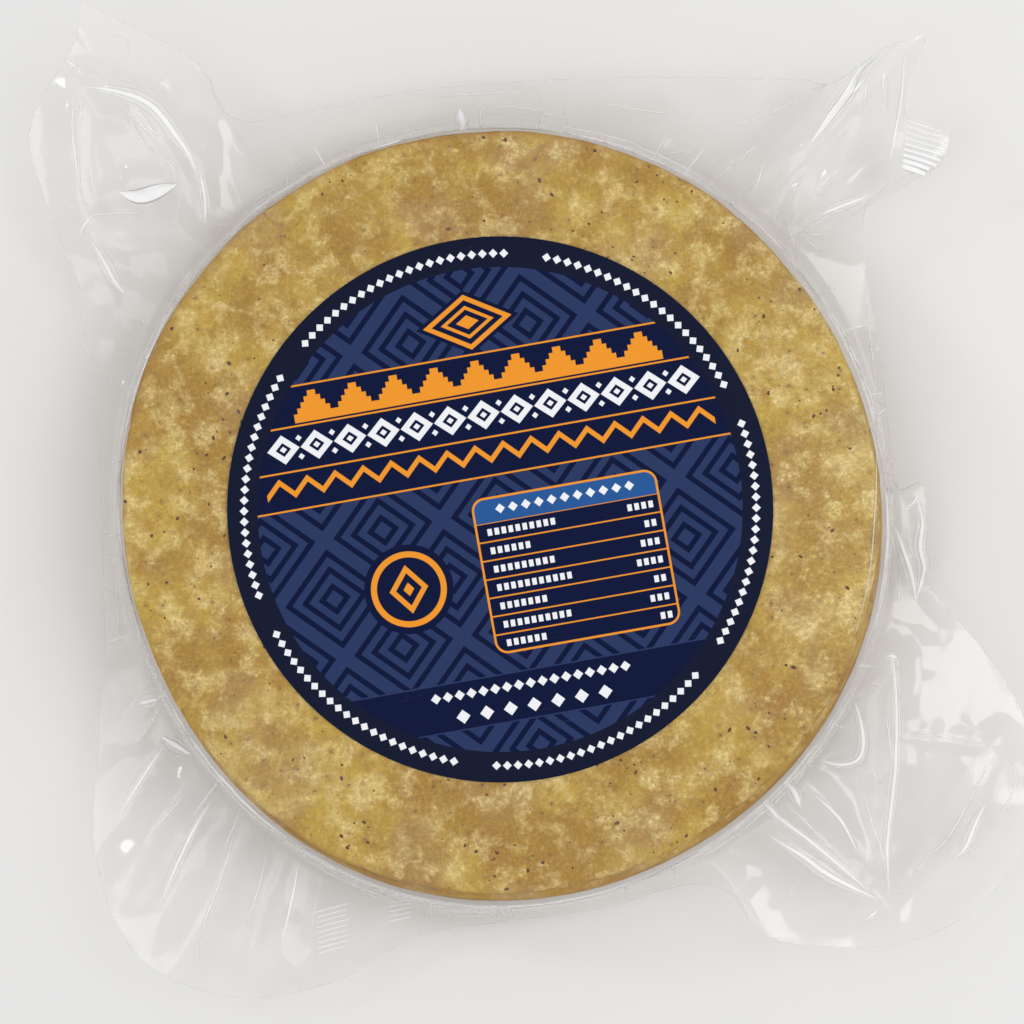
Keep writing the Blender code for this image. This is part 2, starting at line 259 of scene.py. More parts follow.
# The fine pinched lines of the film: girth, as a radius, and the points of each, in millimetres.
# Lines from WHITE_LINE_GIRTH up are drawn white, as painted highlights.
FILM_LINES = (
    # Back right ear.
    # The crest's bright streak: a painted highlight.
    (0.50, ((57.6, 69.4), (61.2, 74.3), (64.0, 78.1), (66.6, 82.6), (69.5, 85.0))),
    (0.16, ((57.8, 79.8), (63.5, 82.0), (70.6, 86.7), (73.8, 88.6))),
    (0.17, ((68.1, 81.6), (67.4, 78.6), (67.2, 74.3))),
    (0.18, ((70.6, 82.0), (70.4, 78.3))),
    (0.13, ((71.7, 82.6), (71.7, 74.3))),
    (0.18, ((74.3, 85.2), (74.3, 79.6), (73.8, 74.3), (72.5, 66.1))),
    (0.22, ((59.7, 56.3), (64.2, 58.0), (67.8, 59.3))),
    (0.12, ((60.6, 55.8), (65.1, 57.4), (68.1, 58.8))),
    (0.14, ((56.3, 52.4), (61.4, 52.8))),
    (0.14, ((56.9, 51.6), (60.3, 49.4))),
    (0.14, ((56.3, 53.1), (59.7, 55.2), (62.5, 57.3))),
    (0.15, ((58.2, 59.1), (60.6, 61.6), (62.9, 64.2))),
    (0.15, ((46.8, 60.1), (48.3, 63.4), (49.2, 67.6))),
    (0.12, ((44.7, 67.2), (47.9, 69.6))),
    (0.12, ((58.0, 79.6), (53.9, 77.5), (48.8, 75.4), (44.1, 73.6))),
    (0.13, ((53.7, 54.1), (54.6, 51.4), (55.2, 47.3))),
    # Back left ear.
    (0.20, ((-79.2, 95.5), (-79.4, 92.5), (-79.0, 89.1))),
    (0.22, ((-82.4, 85.9), (-81.3, 84.8), (-79.8, 83.7))),
    (0.20, ((-84.5, 80.8), (-83.7, 81.2))),
    (0.12, ((-80.3, 83.7), (-74.1, 82.0), (-65.3, 79.7), (-61.4, 77.8))),
    (
        0.34,
        (
            (-77.9, 79.9), (-74.1, 79.3), (-71.1, 78.6), (-67.8, 77.5), (-64.4, 75.2),
            (-60.8, 70.5), (-58.5, 67.1), (-56.9, 63.2),
        ),
    ),
    (0.14, ((-72.1, 78.8), (-70.2, 76.9), (-69.6, 73.7), (-67.0, 69.4), (-63.4, 66.6))),
    (0.15, ((-69.1, 75.2), (-65.7, 70.5))),
    (0.15, ((-68.1, 75.6), (-64.4, 70.3))),
    (0.10, ((-63.4, 66.6), (-60.6, 63.7))),
    (0.13, ((-79.2, 79.3), (-79.0, 76.3), (-78.5, 73.7))),
    (0.17, ((-80.0, 79.3), (-80.5, 73.1), (-80.2, 68.4), (-79.8, 64.7), (-78.8, 60.6), (-78.1, 57.9))),
    (0.14, ((-78.8, 55.1), (-77.2, 56.0), (-74.1, 56.4), (-67.0, 56.8))),
    (0.18, ((-79.6, 52.7), (-78.7, 54.2), (-77.2, 55.7))),
    (0.27, ((-77.5, 51.5), (-76.0, 49.3), (-73.4, 44.4), (-71.3, 41.6))),
    (0.20, ((-56.5, 63.6), (-55.7, 59.4), (-55.7, 54.2))),
    (0.13, ((-57.6, 64.7), (-56.5, 60.9), (-56.3, 54.9))),
    (0.11, ((-48.4, 54.9), (-46.0, 59.4), (-40.1, 62.1))),
    (0.11, ((-55.5, 53.8), (-50.7, 54.7))),
    (0.13, ((-68.9, 38.8), (-66.8, 34.2))),
    (0.12, ((-73.8, 89.5), (-70.2, 88.4), (-69.8, 85.4))),
    (0.10, ((-83.2, 70.3), (-82.8, 62.8), (-81.3, 55.3))),
    # A broad painted highlight where the pocket faces the light.
    (0.92, ((-71.8, 60.4), (-68.8, 59.6), (-65.8, 60.1), (-61.0, 61.7))),
    # Front right ear.
    (0.22, ((73.4, -27.0), (73.9, -35.1), (73.9, -42.6), (73.4, -52.1), (72.4, -63.1), (73.0, -71.9))),
    (0.12, ((74.3, -27.5), (74.5, -35.1), (74.5, -43.6))),
    (0.12, ((71.5, -36.6), (72.6, -41.7), (73.2, -48.7))),
    (0.30, ((50.1, -60.4), (56.0, -64.0), (60.7, -67.4), (65.4, -70.0), (70.9, -72.7))),
    (0.20, ((49.9, -54.0), (52.0, -57.0), (58.1, -61.7), (63.4, -66.1), (69.4, -71.4))),
    (0.36, ((53.0, -50.0), (54.7, -52.1), (56.0, -55.1))),
    (0.28, ((48.6, -53.8), (50.3, -55.3), (51.6, -57.2))),
    (0.19, ((58.6, -52.7), (63.4, -57.4), (66.9, -63.8))),
    (0.14, ((67.7, -50.4), (69.4, -57.4), (71.5, -64.0), (72.4, -71.6))),
    (0.24, ((60.0, -46.4), (63.7, -47.2), (67.1, -46.0), (67.9, -42.3), (66.9, -37.2), (66.0, -34.9))),
    (0.11, ((69.2, -48.1), (71.3, -50.8))),
    (0.14, ((65.4, -34.9), (70.7, -31.9), (73.4, -28.7))),
    (0.22, ((71.9, -26.8), (73.0, -26.6), (74.3, -27.2))),
    (0.13, ((76.0, -40.9), (84.5, -42.1), (94.1, -44.0))),
    (0.16, ((73.9, -72.5), (80.7, -64.8), (84.1, -61.4), (88.5, -54.0), (94.1, -44.7))),
    (0.24, ((85.3, -65.3), (87.5, -63.1), (89.4, -58.7), (91.3, -54.7))),
    (0.13, ((94.1, -44.7), (97.2, -49.3), (95.9, -54.0), (91.1, -61.5), (85.1, -66.8))),
    (0.20, ((70.7, -74.8), (68.6, -76.5))),
    (0.13, ((56.2, -56.8), (59.0, -60.0), (61.5, -62.1))),
    # Right side.
    (0.26, ((73.6, -2.2), (74.7, -4.9), (77.0, -11.1), (78.1, -16.2))),
    (0.26, ((78.1, 3.1), (79.1, -1.6), (78.7, -6.2), (79.6, -10.5), (78.1, -16.2))),
    (0.22, ((75.7, 1.2), (77.0, 1.8), (78.3, 3.3))),
    (0.12, ((71.2, 14.0), (73.0, 6.8), (73.8, 1.6))),
    (0.12, ((74.7, -5.8), (74.9, -11.5), (74.7, -16.2))),
    (0.12, ((68.9, 40.4), (69.8, 31.0), (70.8, 21.6))),
    # A thin painted highlight along the top tortilla's edge.
    (0.07, ((68.5, 13.0), (68.5, 5.0), (68.1, -1.5), (67.5, -9.0), (66.1, -16.6), (64.3, -23.0))),
    # Front side.
    (0.13, ((-14.9, -72.8), (-14.3, -74.5), (-14.7, -76.2))),
    (0.12, ((-14.0, -72.8), (-13.4, -74.5), (-13.8, -76.2))),
    (0.20, ((-20.2, -69.8), (-18.7, -70.6))),
    (0.12, ((-13.8, -76.0), (-4.3, -75.9), (7.1, -75.3))),
    (0.11, ((-28.9, -69.2), (-25.1, -71.7), (-19.4, -72.8))),
    # Front left ear.
    (0.30, ((-68.7, -35.8), (-66.8, -35.3), (-64.9, -34.9))),
    (0.36, ((-64.6, -41.7), (-61.9, -43.4), (-58.7, -45.1))),
    (0.22, ((-54.9, -54.0), (-57.9, -58.9), (-61.7, -66.5), (-64.7, -74.0))),
    (0.20, ((-63.8, -43.6), (-67.8, -49.4), (-72.3, -56.3))),
    (0.18, ((-38.3, -65.3), (-39.8, -72.9), (-42.1, -82.3))),
    (0.16, ((-50.4, -59.7), (-52.5, -67.2), (-56.2, -77.6), (-57.2, -84.2))),
    (0.14, ((-59.5, -52.1), (-63.8, -57.4), (-69.7, -63.4))),
    (0.13, ((-44.3, -63.4), (-46.2, -71.0), (-49.6, -80.4))),
    (0.12, ((-73.6, -8.6), (-72.9, -16.2), (-72.5, -23.8))),
    # Back side.
    (0.46, ((-8.1, 76.6), (-7.8, 74.8), (-7.5, 73.4), (-7.2, 72.2))),
    (0.13, ((-7.7, 76.1), (-7.5, 72.9))),
    (0.14, ((-4.3, 76.9), (-4.1, 73.9))),
    (0.12, ((-5.8, 76.9), (3.8, 76.9), (11.4, 74.3))),
    (0.12, ((-13.8, 78.8), (-6.2, 79.6), (5.2, 79.9))),
    (0.11, ((24.1, 65.2), (30.7, 67.8), (37.3, 69.0))),
    (0.11, ((16.5, 78.4), (26.0, 76.5), (37.3, 75.0))),
)
LINE_STEP = 0.6 * MM
LINE_SIDES = 8
LINE_WIDENING = 1.7
LINE_FLATNESS = 0.3
WHITE_FLATNESS = 0.2
LINE_SINK = 0.05
# Lines from this girth are drawn white, as painted highlights, and from BAND_GIRTH a soft band of painted
# glow lies beside them.
WHITE_LINE_GIRTH = 0.18
BAND_GIRTH = 0.20
BAND_MOST_GIRTH = 0.30
BAND_WIDENING = 5.0
BAND_FLATNESS = 0.04
DROP_HEIGHT = 0.1
TAPER_LEAST = 0.02
TAPER_POWER = 0.7
# The shares of pleat and ring lines drawn white, as painted highlights and glints.
WHITE_PLEAT_SHARE = 0.2
WHITE_RING_SHARE = 0.5
# No pleats lie where the right tab's own lines start: least X, least and greatest Y, in millimetres.
TAB_EDGE = (60.0, -17.0, 9.0)

# Ribs pressed into the film at its seal: start, direction, step to the next, number, and the girth of
# the first and the last, in millimetres. Wide ones run together. A rib's length varies a little.
# The ribs are drawn white, as painted highlights on the pressed ribs.
RIB_LENGTHS = (0.85, 1.0)
SEAL_RIBS = (
    ("back_right", (75.6, 73.6), (7.6, -2.4), (-0.10, -1.06), 9, 0.15, 0.62),
    ("front_left_outer", (-35.2, -74.9), (6.0, 1.4), (0.05, -1.00), 9, 0.12, 0.12),
    ("front_left_inner", (-21.6, -73.2), (4.6, 1.0), (0.02, -0.95), 5, 0.12, 0.12),
)
RIM_GIRTH = 0.10 * MM

# Flat facets of the slack film: a wave's length and height in millimetres, and its direction in degrees.
FACET_WAVES = (
    (13.0, 0.34, 20.0), (9.5, 0.26, 75.0), (17.0, 0.42, 128.0), (7.0, 0.16, 160.0), (23.0, 0.45, 48.0),
)
FACET_BEND = 0.18
FACET_BEND_PITCH = 2.1
SLACK_START = 0.3
SLACK_AT_ENDS = 0.1

# Small pleats where the film gathers round the stack.
PLEAT_SEED = 11
PLEAT_COUNT = 150
PLEAT_LINE_GIRTHS = (0.08, 0.20)
PLEAT_LINE_SHARE = 0.42
PLEAT_LENGTHS = (3.0, 11.0)
PLEAT_HEIGHTS = (0.06, 0.28)
PLEAT_HALF_WIDTHS = (0.7, 1.5)
PLEAT_STARTS = (-0.5, 4.0)
PLEAT_LEAN = 0.35

# Thin lines where the film is drawn down over the edge of the stack, running round it; half are drawn
# white, as painted glints.
RING_SEED = 23
RING_COUNT = 74
RING_SPANS = (6.0, 34.0)
RING_OFFSETS = (0.25, 3.4)
RING_CROWDING = 1.6
RING_LEAST_OFFSET = 0.12
RING_DRIFT = 0.9
RING_POINTS = 40
RING_GIRTHS = (0.05, 0.17)

# The label: its radius and centre in millimetres, its turn, and how it lies on the film.
LABEL_RADIUS = 50.0
LABEL_CENTRE = (-0.4, 0.9)
LABEL_TURN = math.radians(10.0)
LABEL_SIDES = 256
LABEL_SHARES = (0.2, 0.4, 0.6, 0.8, 0.93)
LABEL_LIFT = 0.10 * MM
LABEL_SHEET = 0.15 * MM
LABEL_BEVEL = (0.08 * MM, 0.04 * MM)
LABEL_WANDER = 0.04 * MM

# How hard the edges of the print are, per millimetre.
PRINT_SHARPNESS = 14.0

# The dough: sizes of its markings in millimetres, and where painted light pales its right side, from X and
# Y.
ZONE_SIZE = 13.0
TOASTED_SIZE = 9.0
PATCH_SIZE = 4.4
ROUND_SIZE = 6.2
MOTTLE_SIZE = 1.1
CURD_SIZE = 0.62
GRAIN_SIZE = 0.34
SWAY_SIZE = 3.0
SWAY_REACH = 1.9
FRECKLE_SPACING = 3.1
SMALL_FRECKLE_SPACING = 1.5
PAINTED_LIGHT_SIDE = ((42.0, 74.0), (-52.0, -20.0))
DOUGH_RIM = (69.4, 71.6)

# The share of light that one face of plastic film throws back head on.
HEAD_ON_GLOSS = 0.04
# Each film's tint, haze and its colour, roughness, gloss head on and at a slant, and painted reflection
# tone as patchy haze.
FILMS = {
    "clear_film": ((1.0, 0.997, 0.994), 0.006, (0.98, 0.95, 0.94), 0.08, 0.44, 1.1, 0.03),
    # Painted glow: the soft bands beside the wide white lines.
    "painted_glow_film": ((1.0, 0.998, 0.996), 0.09, (1.0, 0.99, 0.985), 0.30, 0.10, 0.05, 0.0),
    # Pinched welts whose white haze also paints part of their highlight.
    "pinched_film_and_painted_highlight": ((0.98, 0.975, 0.968), 0.30, (0.98, 0.97, 0.965), 0.25, 1.1, 0.9, 0.0),
    # Painted highlight: near opaque white haze on the white lines stands in for light the creases throw
    # back.
    "painted_highlight_film": ((0.98, 0.975, 0.97), 0.86, (1.0, 1.0, 1.0), 0.30, 0.7, 0.4, 0.0),
}

# The camera looks straight down.
CAMERA_PLACE = (1.76 * MM, 0.43 * MM, 545.4 * MM)
CAMERA_LENS = 100.0
CAMERA_SENSOR = 36.0

# The room: the sky's colour at each height, and each softbox's place, width, power and colour.
SKY_STRENGTH = 0.90
SKY_STOPS = (
    (0.0, (0.75, 0.75, 0.755, 1.0)),
    (0.3, (0.44, 0.44, 0.44, 1.0)),
    (0.6, (0.46, 0.46, 0.46, 1.0)),
    (0.85, (0.85, 0.85, 0.85, 1.0)),
    (1.0, (1.45, 1.45, 1.45, 1.0)),
)
SOFTBOXES = {
    "softbox_high_right": ((0.46, 0.10, 0.70), 0.36, 1.60, (1.0, 0.985, 0.975)),
    "softbox_high_left": ((-0.55, -0.30, 1.0), 0.60, 2.0, (0.99, 0.995, 1.0)),
    "softbox_low_right": ((0.78, -0.10, 0.55), 0.20, 0.5, (1.0, 1.0, 1.0)),
    "softbox_low_left": ((-0.74, 0.34, 0.55), 0.12, 0.8, (1.0, 1.0, 1.0)),
}
FLOOR_HALF = 3.0


def linear(red, green, blue):
    """A colour picked on a screen, from 0 to 255, as Blender's linear colour."""

    def channel(value):
        share = value / 255.0
        return share / 12.92 if share <= 0.04045 else ((share + 0.055) / 1.055) ** 2.4

    return (channel(red), channel(green), channel(blue), 1.0)


class Wire:
    """A node's output, on which Python's arithmetic adds Math nodes."""

    def __init__(self, bench, socket):
        self.bench = bench
        self.socket = socket

    def __add__(self, other):
        return self.bench.maths("ADD", self, other)

    def __radd__(self, other):
        return self.bench.maths("ADD", other, self)

    def __sub__(self, other):
        return self.bench.maths("SUBTRACT", self, other)

    def __rsub__(self, other):
        return self.bench.maths("SUBTRACT", other, self)

    def __mul__(self, other):
        return self.bench.maths("MULTIPLY", self, other)

    def __rmul__(self, other):
        return self.bench.maths("MULTIPLY", other, self)

    def __truediv__(self, other):
        return self.bench.maths("DIVIDE", self, other)

    def __pow__(self, other):
        return self.bench.maths("POWER", self, other)

    def __abs__(self):
        return self.bench.maths("ABSOLUTE", self)

    def __gt__(self, other):
        return self.bench.maths("GREATER_THAN", self, other)


class Bench:
    """Adds nodes to a shader tree or a geometry tree."""

    def __init__(self, tree):
        self.tree = tree

    def make(self, kind, settings=None, inputs=None, output=0):
        """A node of this type, with its settings and its inputs' values or wires. Returns one output."""
        node = self.tree.nodes.new(kind)
        for name, value in (settings or {}).items():
            if name == "stops":
                self.set_stops(node.color_ramp.elements, value)
            else:
                setattr(node, name, value)
        for name, value in (inputs or {}).items():
            if isinstance(value, Wire):
                self.tree.links.new(value.socket, node.inputs[name])
            else:
                node.inputs[name].default_value = value
        return Wire(self, node.outputs[output]) if node.outputs else node

    @staticmethod
    def set_stops(elements, stops):
        """Sets a colour ramp's stops."""
        while len(elements) < len(stops):
            elements.new(0.5)
        for element, (place, colour) in zip(elements, stops):
            element.position = place
            element.color = colour

    def also(self, wire, output):
        """Another output of the node that a wire comes from."""
        return Wire(self, wire.socket.node.outputs[output])

    def maths(self, operation, *terms):
        """A Math node on these terms."""
        return self.make("ShaderNodeMath", {"operation": operation}, dict(enumerate(terms)))

    def clamp(self, value):
        """The value, held between 0 and 1."""
        return self.make("ShaderNodeMath", {"operation": "ADD", "use_clamp": True}, {0: value, 1: 0.0})

    def greater(self, first, second):
        """The greater of two values."""
        return self.maths("MAXIMUM", first, second)

    def ease(self, value, low, high):
        """0 at low, 1 at high, and smooth between them."""
        return self.make(
            "ShaderNodeMapRange",
            {"interpolation_type": "SMOOTHSTEP"},
            {"Value": value, "From Min": low, "From Max": high, "To Min": 0.0, "To Max": 1.0},
        )

    def noise(self, place, size, detail=2.0, roughness=0.5):
        """Cloudy noise whose lumps are about size across."""
        return self.make(
            "ShaderNodeTexNoise",
            {"noise_dimensions": "3D"},
            {"Vector": place, "Scale": 1.0 / size, "Detail": detail, "Roughness": roughness},
        )

    def cells(self, place, size):
        """Distance to the nearest of scattered points, in cells of this size."""
        return self.make(
            "ShaderNodeTexVoronoi",
            {"voronoi_dimensions": "2D"},
            {"Vector": place, "Scale": 1.0 / size},
            "Distance",
        )

    def mix(self, share, first, second):
        """A blend of two colours."""
        return self.make("ShaderNodeMix", {"data_type": "RGBA"}, {0: share, 6: first, 7: second}, 2)

    def shade(self, colour, factor):
        """A colour made lighter or darker by a factor."""
        return self.make(
            "ShaderNodeVectorMath", {"operation": "SCALE"}, {"Vector": colour, "Scale": factor}
        )

    def vector(self, operation, first, second=(0.0, 0.0, 0.0)):
        """A Vector Math node."""
        return self.make("ShaderNodeVectorMath", {"operation": operation}, {0: first, 1: second})

    def coat(self, colour, roughness, gloss, bump=None):
        """An opaque surface."""
        inputs = {"Base Color": colour, "Roughness": roughness, "Specular IOR Level": gloss}
        if bump is not None:
            inputs["Normal"] = bump
        return self.make("ShaderNodeBsdfPrincipled", None, inputs)

    def bump(self, height, strength, distance):
        """Low relief on a surface."""
        inputs = {"Strength": strength, "Distance": distance, "Height": height}
        return self.make("ShaderNodeBump", None, inputs)

    def split(self, vector):
        """The three parts of a vector."""
        first = self.make("ShaderNodeSeparateXYZ", None, {"Vector": vector})
        return first, self.also(first, 1), self.also(first, 2)

    def join(self, first, second, third):
        """A vector from three parts."""
        return self.make("ShaderNodeCombineXYZ", None, {0: first, 1: second, 2: third})


def new_material(name):
    """An empty material with its bench, and its place in millimetres on the object's coordinates."""
    material = bpy.data.materials.new(name)
    material.use_nodes = True
    material.node_tree.nodes.clear()
    bench = Bench(material.node_tree)
    place = bench.make("ShaderNodeTexCoord", None, None, "Object")
    return material, bench, bench.shade(place, 1.0 / MM)


def finish_material(bench, shader):
    """Ends a material with this shader."""
    bench.make("ShaderNodeOutputMaterial", None, {"Surface": shader})


# The colours of the dough and its markings, and of the inks on the label.
OCHRE = linear(160, 120, 26)
PALE_OCHRE = linear(184, 150, 50)
TOASTED = linear(157, 110, 24)
CREAM = linear(219, 196, 128)
RIM_BROWN = linear(158, 112, 46)
HALO_BROWN = linear(142, 98, 38)
FRECKLE_BROWN = linear(86, 58, 24)
SMALL_FRECKLE_BROWN = linear(118, 82, 34)
FLECK_DARK = linear(62, 36, 6)
FLECK_LIGHT = linear(106, 68, 18)
NAVY_INK = linear(11, 21, 57)
SLATE_INK = linear(42, 56, 96)
RIM_INK = linear(19, 25, 48)
BLUE_INK = linear(40, 88, 150)
ORANGE_INK = linear(236, 150, 46)
WHITE_INK = linear(236, 238, 242)
SCUFF_GREY = linear(150, 156, 172)


def dough_ground(bench, place, mottle, grain):
    """The dough's colour: golden zones, toasted places, pale creamy patches with small curds, painted light
    on the right.
    """
    x, y, _ = bench.split(place)
    # Painted light: paler towards the right side, fading out towards the front.
    painted_light_side = bench.ease(x, *PAINTED_LIGHT_SIDE[0]) * bench.ease(y, *PAINTED_LIGHT_SIDE[1])
    sway = bench.also(bench.noise(place, SWAY_SIZE, 2.0, 0.6), "Color")
    bent = bench.vector("ADD", place, bench.shade(sway, SWAY_REACH))

    zones = bench.ease(bench.noise(place, ZONE_SIZE, 2.0, 0.55), 0.38, 0.66)
    toasted = bench.ease(bench.noise(bent, TOASTED_SIZE, 2.0, 0.6), 0.52, 0.72)
    patches = bench.ease(bench.noise(bent, PATCH_SIZE, 3.0, 0.58), 0.46, 0.68)
    rounds = bench.ease(bench.cells(bent, ROUND_SIZE), 0.46, 0.14)
    curds = bench.ease(bench.noise(place, CURD_SIZE, 1.0, 0.5), 0.50, 0.70)
    pale = bench.clamp(patches * 0.66 + rounds * zones * 0.40 + painted_light_side * 0.24)
    creamy = bench.clamp(pale * (mottle * 1.75 - 0.16) + curds * (0.17 + pale * 0.36))

    colour = bench.mix(zones, OCHRE, PALE_OCHRE)
    colour = bench.mix(toasted * 0.7, colour, TOASTED)
    colour = bench.mix(creamy, colour, CREAM)
    return bench.shade(colour, 0.38 + mottle * 0.75 + grain * 0.50)


def dough_freckles(bench, place, colour):
    """Brown freckles with soft halos, and smaller ones between them."""
    spots = bench.cells(place, FRECKLE_SPACING)
    chosen, wide, _ = bench.split(bench.also(spots, "Color"))
    freckles = bench.ease(spots, 0.06 + wide * 0.08, 0.02) * bench.ease(chosen, 0.66, 0.95)
    halos = bench.ease(spots, 0.34, 0.06) * bench.ease(chosen, 0.45, 0.8)
    colour = bench.mix(halos * 0.34, colour, HALO_BROWN)
    colour = bench.mix(freckles * 0.75, colour, FRECKLE_BROWN)
    spots = bench.cells(place, SMALL_FRECKLE_SPACING)
    chosen = bench.split(bench.also(spots, "Color"))[0]
    small = bench.ease(spots, 0.17, 0.05) * bench.ease(chosen, 0.78, 0.98)
    return bench.mix(small * 0.5, colour, SMALL_FRECKLE_BROWN)


def dough_rim(bench, place, colour):
    """The browner rim of each tortilla."""
    x, y, _ = bench.split(place)
    reach = bench.maths("SQRT", x * x + y * y)
    rim = bench.ease(reach + bench.noise(place, 6.0, 2.0) * 2.0, *DOUGH_RIM)
    return bench.mix(rim * 0.55, colour, RIM_BROWN)


def tortilla_material():
    """Baked corn dough: golden ochre with soft pale blotches, browner zones, freckles and fine grain."""
    material, bench, place = new_material("baked_corn_dough")
    # The layers of the stack differ, because height counts several times over.
    place = bench.vector("MULTIPLY", place, (1.0, 1.0, 4.0))
    mottle = bench.noise(place, MOTTLE_SIZE, 3.0, 0.72)
    grain = bench.noise(place, GRAIN_SIZE, 1.0, 0.6)
    colour = dough_ground(bench, place, mottle, grain)
    colour = dough_freckles(bench, place, colour)
    colour = dough_rim(bench, place, colour)
    bump = bench.bump(mottle * 0.7 + grain * 0.3, strength=0.5, distance=0.12 * MM)
    finish_material(bench, bench.coat(colour, roughness=0.52 + mottle * 0.25, gloss=0.35, bump=bump))
    return material


def fleck_material():
    """The dark flecks of toasted corn skin in the dough."""
    material, bench, place = new_material("toasted_fleck")
    colour = bench.mix(bench.noise(place, 3.0, 2.0), FLECK_DARK, FLECK_LIGHT)
    finish_material(bench, bench.coat(colour, roughness=0.6, gloss=0.3))
    return material


def film_material(name, tint, haze, veil, roughness, gloss, slant_gloss, painted_reflection_planes):
    """Clear plastic film: mostly see-through, with a little haze, patchy where it paints reflection tone,
    and a sharp gloss.
    """
    material, bench, place = new_material(name)
    clear = bench.make("ShaderNodeBsdfTransparent", None, {"Color": (*tint, 1.0)})
    cloudy = bench.make("ShaderNodeBsdfDiffuse", None, {"Color": (*veil, 1.0)})
    # Painted reflection: broad patches of extra haze stand in for the tone reflections give the film.
    if painted_reflection_planes:
        haze = haze + bench.ease(bench.noise(place, 15.0, 1.0, 0.5), 0.48, 0.62) * painted_reflection_planes
    film = bench.make("ShaderNodeMixShader", None, {0: haze, 1: clear, 2: cloudy})
    shine = bench.make(
        "ShaderNodeBsdfAnisotropic", None, {"Color": (1.0, 1.0, 1.0, 1.0), "Roughness": roughness}
    )
    slant = bench.make("ShaderNodeLayerWeight", None, {"Blend": 0.5}, "Facing")
    mirror = bench.clamp(HEAD_ON_GLOSS * gloss + (1.0 - HEAD_ON_GLOSS) * slant**4.0 * slant_gloss)
    film = bench.make("ShaderNodeMixShader", None, {0: mirror, 1: film, 2: shine})
    finish_material(bench, film)
    return material


class Print:
    """The label's print, put on layer by layer. Lengths are in millimetres from the label's middle."""

    def __init__(self, bench, across, up):
        self.bench = bench
        self.across = across
        self.up = up
        self.colour = NAVY_INK

    def inside(self, distance):
        """1 where a signed distance is below zero, with a fine soft edge."""
        return self.bench.clamp(0.5 - distance * PRINT_SHARPNESS)

    def outline(self, distance, half):
        """1 on a line of this half width along the places where a signed distance is zero."""
        return self.inside(abs(distance) - half)

    def strip(self, value, middle, half):
        """1 where a value lies within half of the middle."""
        return self.inside(abs(value - middle) - half)

    def repeat(self, value, period):
        """The value, started again at each period, from minus half of it to half."""
        return self.bench.maths("WRAP", value, period / 2, -period / 2)

    def lozenges(self, period, middle, radius, half):
        """1 on each lozenge of a level row, which ends at half its length to both sides."""
        lozenge = abs(self.repeat(self.across, period)) + abs(self.up - middle)
        return self.inside(lozenge - radius) * self.strip(self.across, 0.0, half)

    def ink(self, mask, colour):
        """Prints a colour where the mask is 1."""
        self.colour = self.bench.mix(mask, self.colour, colour)


def print_lattice(sheet):
    """Nested diamonds, tone on tone, and the plain field that the bands stand on."""
    period, pitch, heart = 15.4, 2.2, 0.55
    along = (sheet.across + sheet.up) * math.sqrt(0.5)
    over = (sheet.up - sheet.across) * math.sqrt(0.5)
    diamond = sheet.bench.greater(abs(sheet.repeat(along, period)), abs(sheet.repeat(over, period)))
    sheet.ink(sheet.outline(sheet.repeat(diamond - heart, pitch), half=0.62), SLATE_INK)
    sheet.ink(sheet.strip(sheet.up, middle=17.6, half=11.4), NAVY_INK)


def print_steps(sheet):
    """A band of stepped pyramids."""
    period, width, rise, top = 7.6, 0.76, 1.0, 27.6
    step = sheet.bench.maths("FLOOR", abs(sheet.repeat(sheet.across, period)) / width)
    below = sheet.inside(sheet.up - top + step * rise)
    band = sheet.strip(sheet.up, middle=24.9, half=2.9)
    length = sheet.strip(sheet.across, middle=0.0, half=34.2)
    sheet.ink(below * band * length, ORANGE_INK)


def print_row(sheet):
    """A row of hollow white lozenges with hearts, and dots between them."""
    period, slope, radius, hollow, heart = 6.2, 0.9, 2.7, 1.3, 0.6
    middle, dot_rise, dot_radius, half = 17.6, 1.7, 0.6, 40.3
    length = sheet.strip(sheet.across, 0.0, half)
    lozenge = abs(sheet.repeat(sheet.across, period)) * slope + abs(sheet.up - middle)
    row = sheet.inside(sheet.bench.greater(lozenge - radius, hollow - lozenge)) * length
    hearts = sheet.inside(lozenge - heart) * length
    dot = abs(sheet.repeat(sheet.across + period / 2, period)) + abs(abs(sheet.up - middle) - dot_rise)
    dots = sheet.inside(dot - dot_radius) * sheet.strip(sheet.across, 0.0, half - period / 2)
    sheet.ink(sheet.bench.greater(sheet.bench.greater(row, hearts), dots), WHITE_INK)


def print_zigzag(sheet):
    """A zigzag, and the ruled lines between the bands."""
    wave = sheet.bench.maths("PINGPONG", sheet.across, 2.6)
    foot = 9.2
    zigzag = sheet.outline(sheet.up - foot - wave, half=0.62)
    sheet.ink(zigzag * sheet.strip(sheet.across, middle=0.0, half=41.6), ORANGE_INK)
    for height in (6.4, 13.4, 21.5, 28.8):
        sheet.ink(sheet.strip(sheet.up, height, half=0.16), ORANGE_INK)


def print_crown(sheet):
    """A large lozenge at the top, of two rings and a heart."""
    slope, middle, field, heart = 0.62, 34.8, 5.9, 1.3
    crown = abs(sheet.across) * slope + abs(sheet.up - middle)
    sheet.ink(sheet.inside(crown - field), NAVY_INK)
    for radius, half in ((4.6, 0.5), (2.7, 0.35)):
        sheet.ink(sheet.outline(crown - radius, half), ORANGE_INK)
    sheet.ink(sheet.inside(crown - heart), ORANGE_INK)


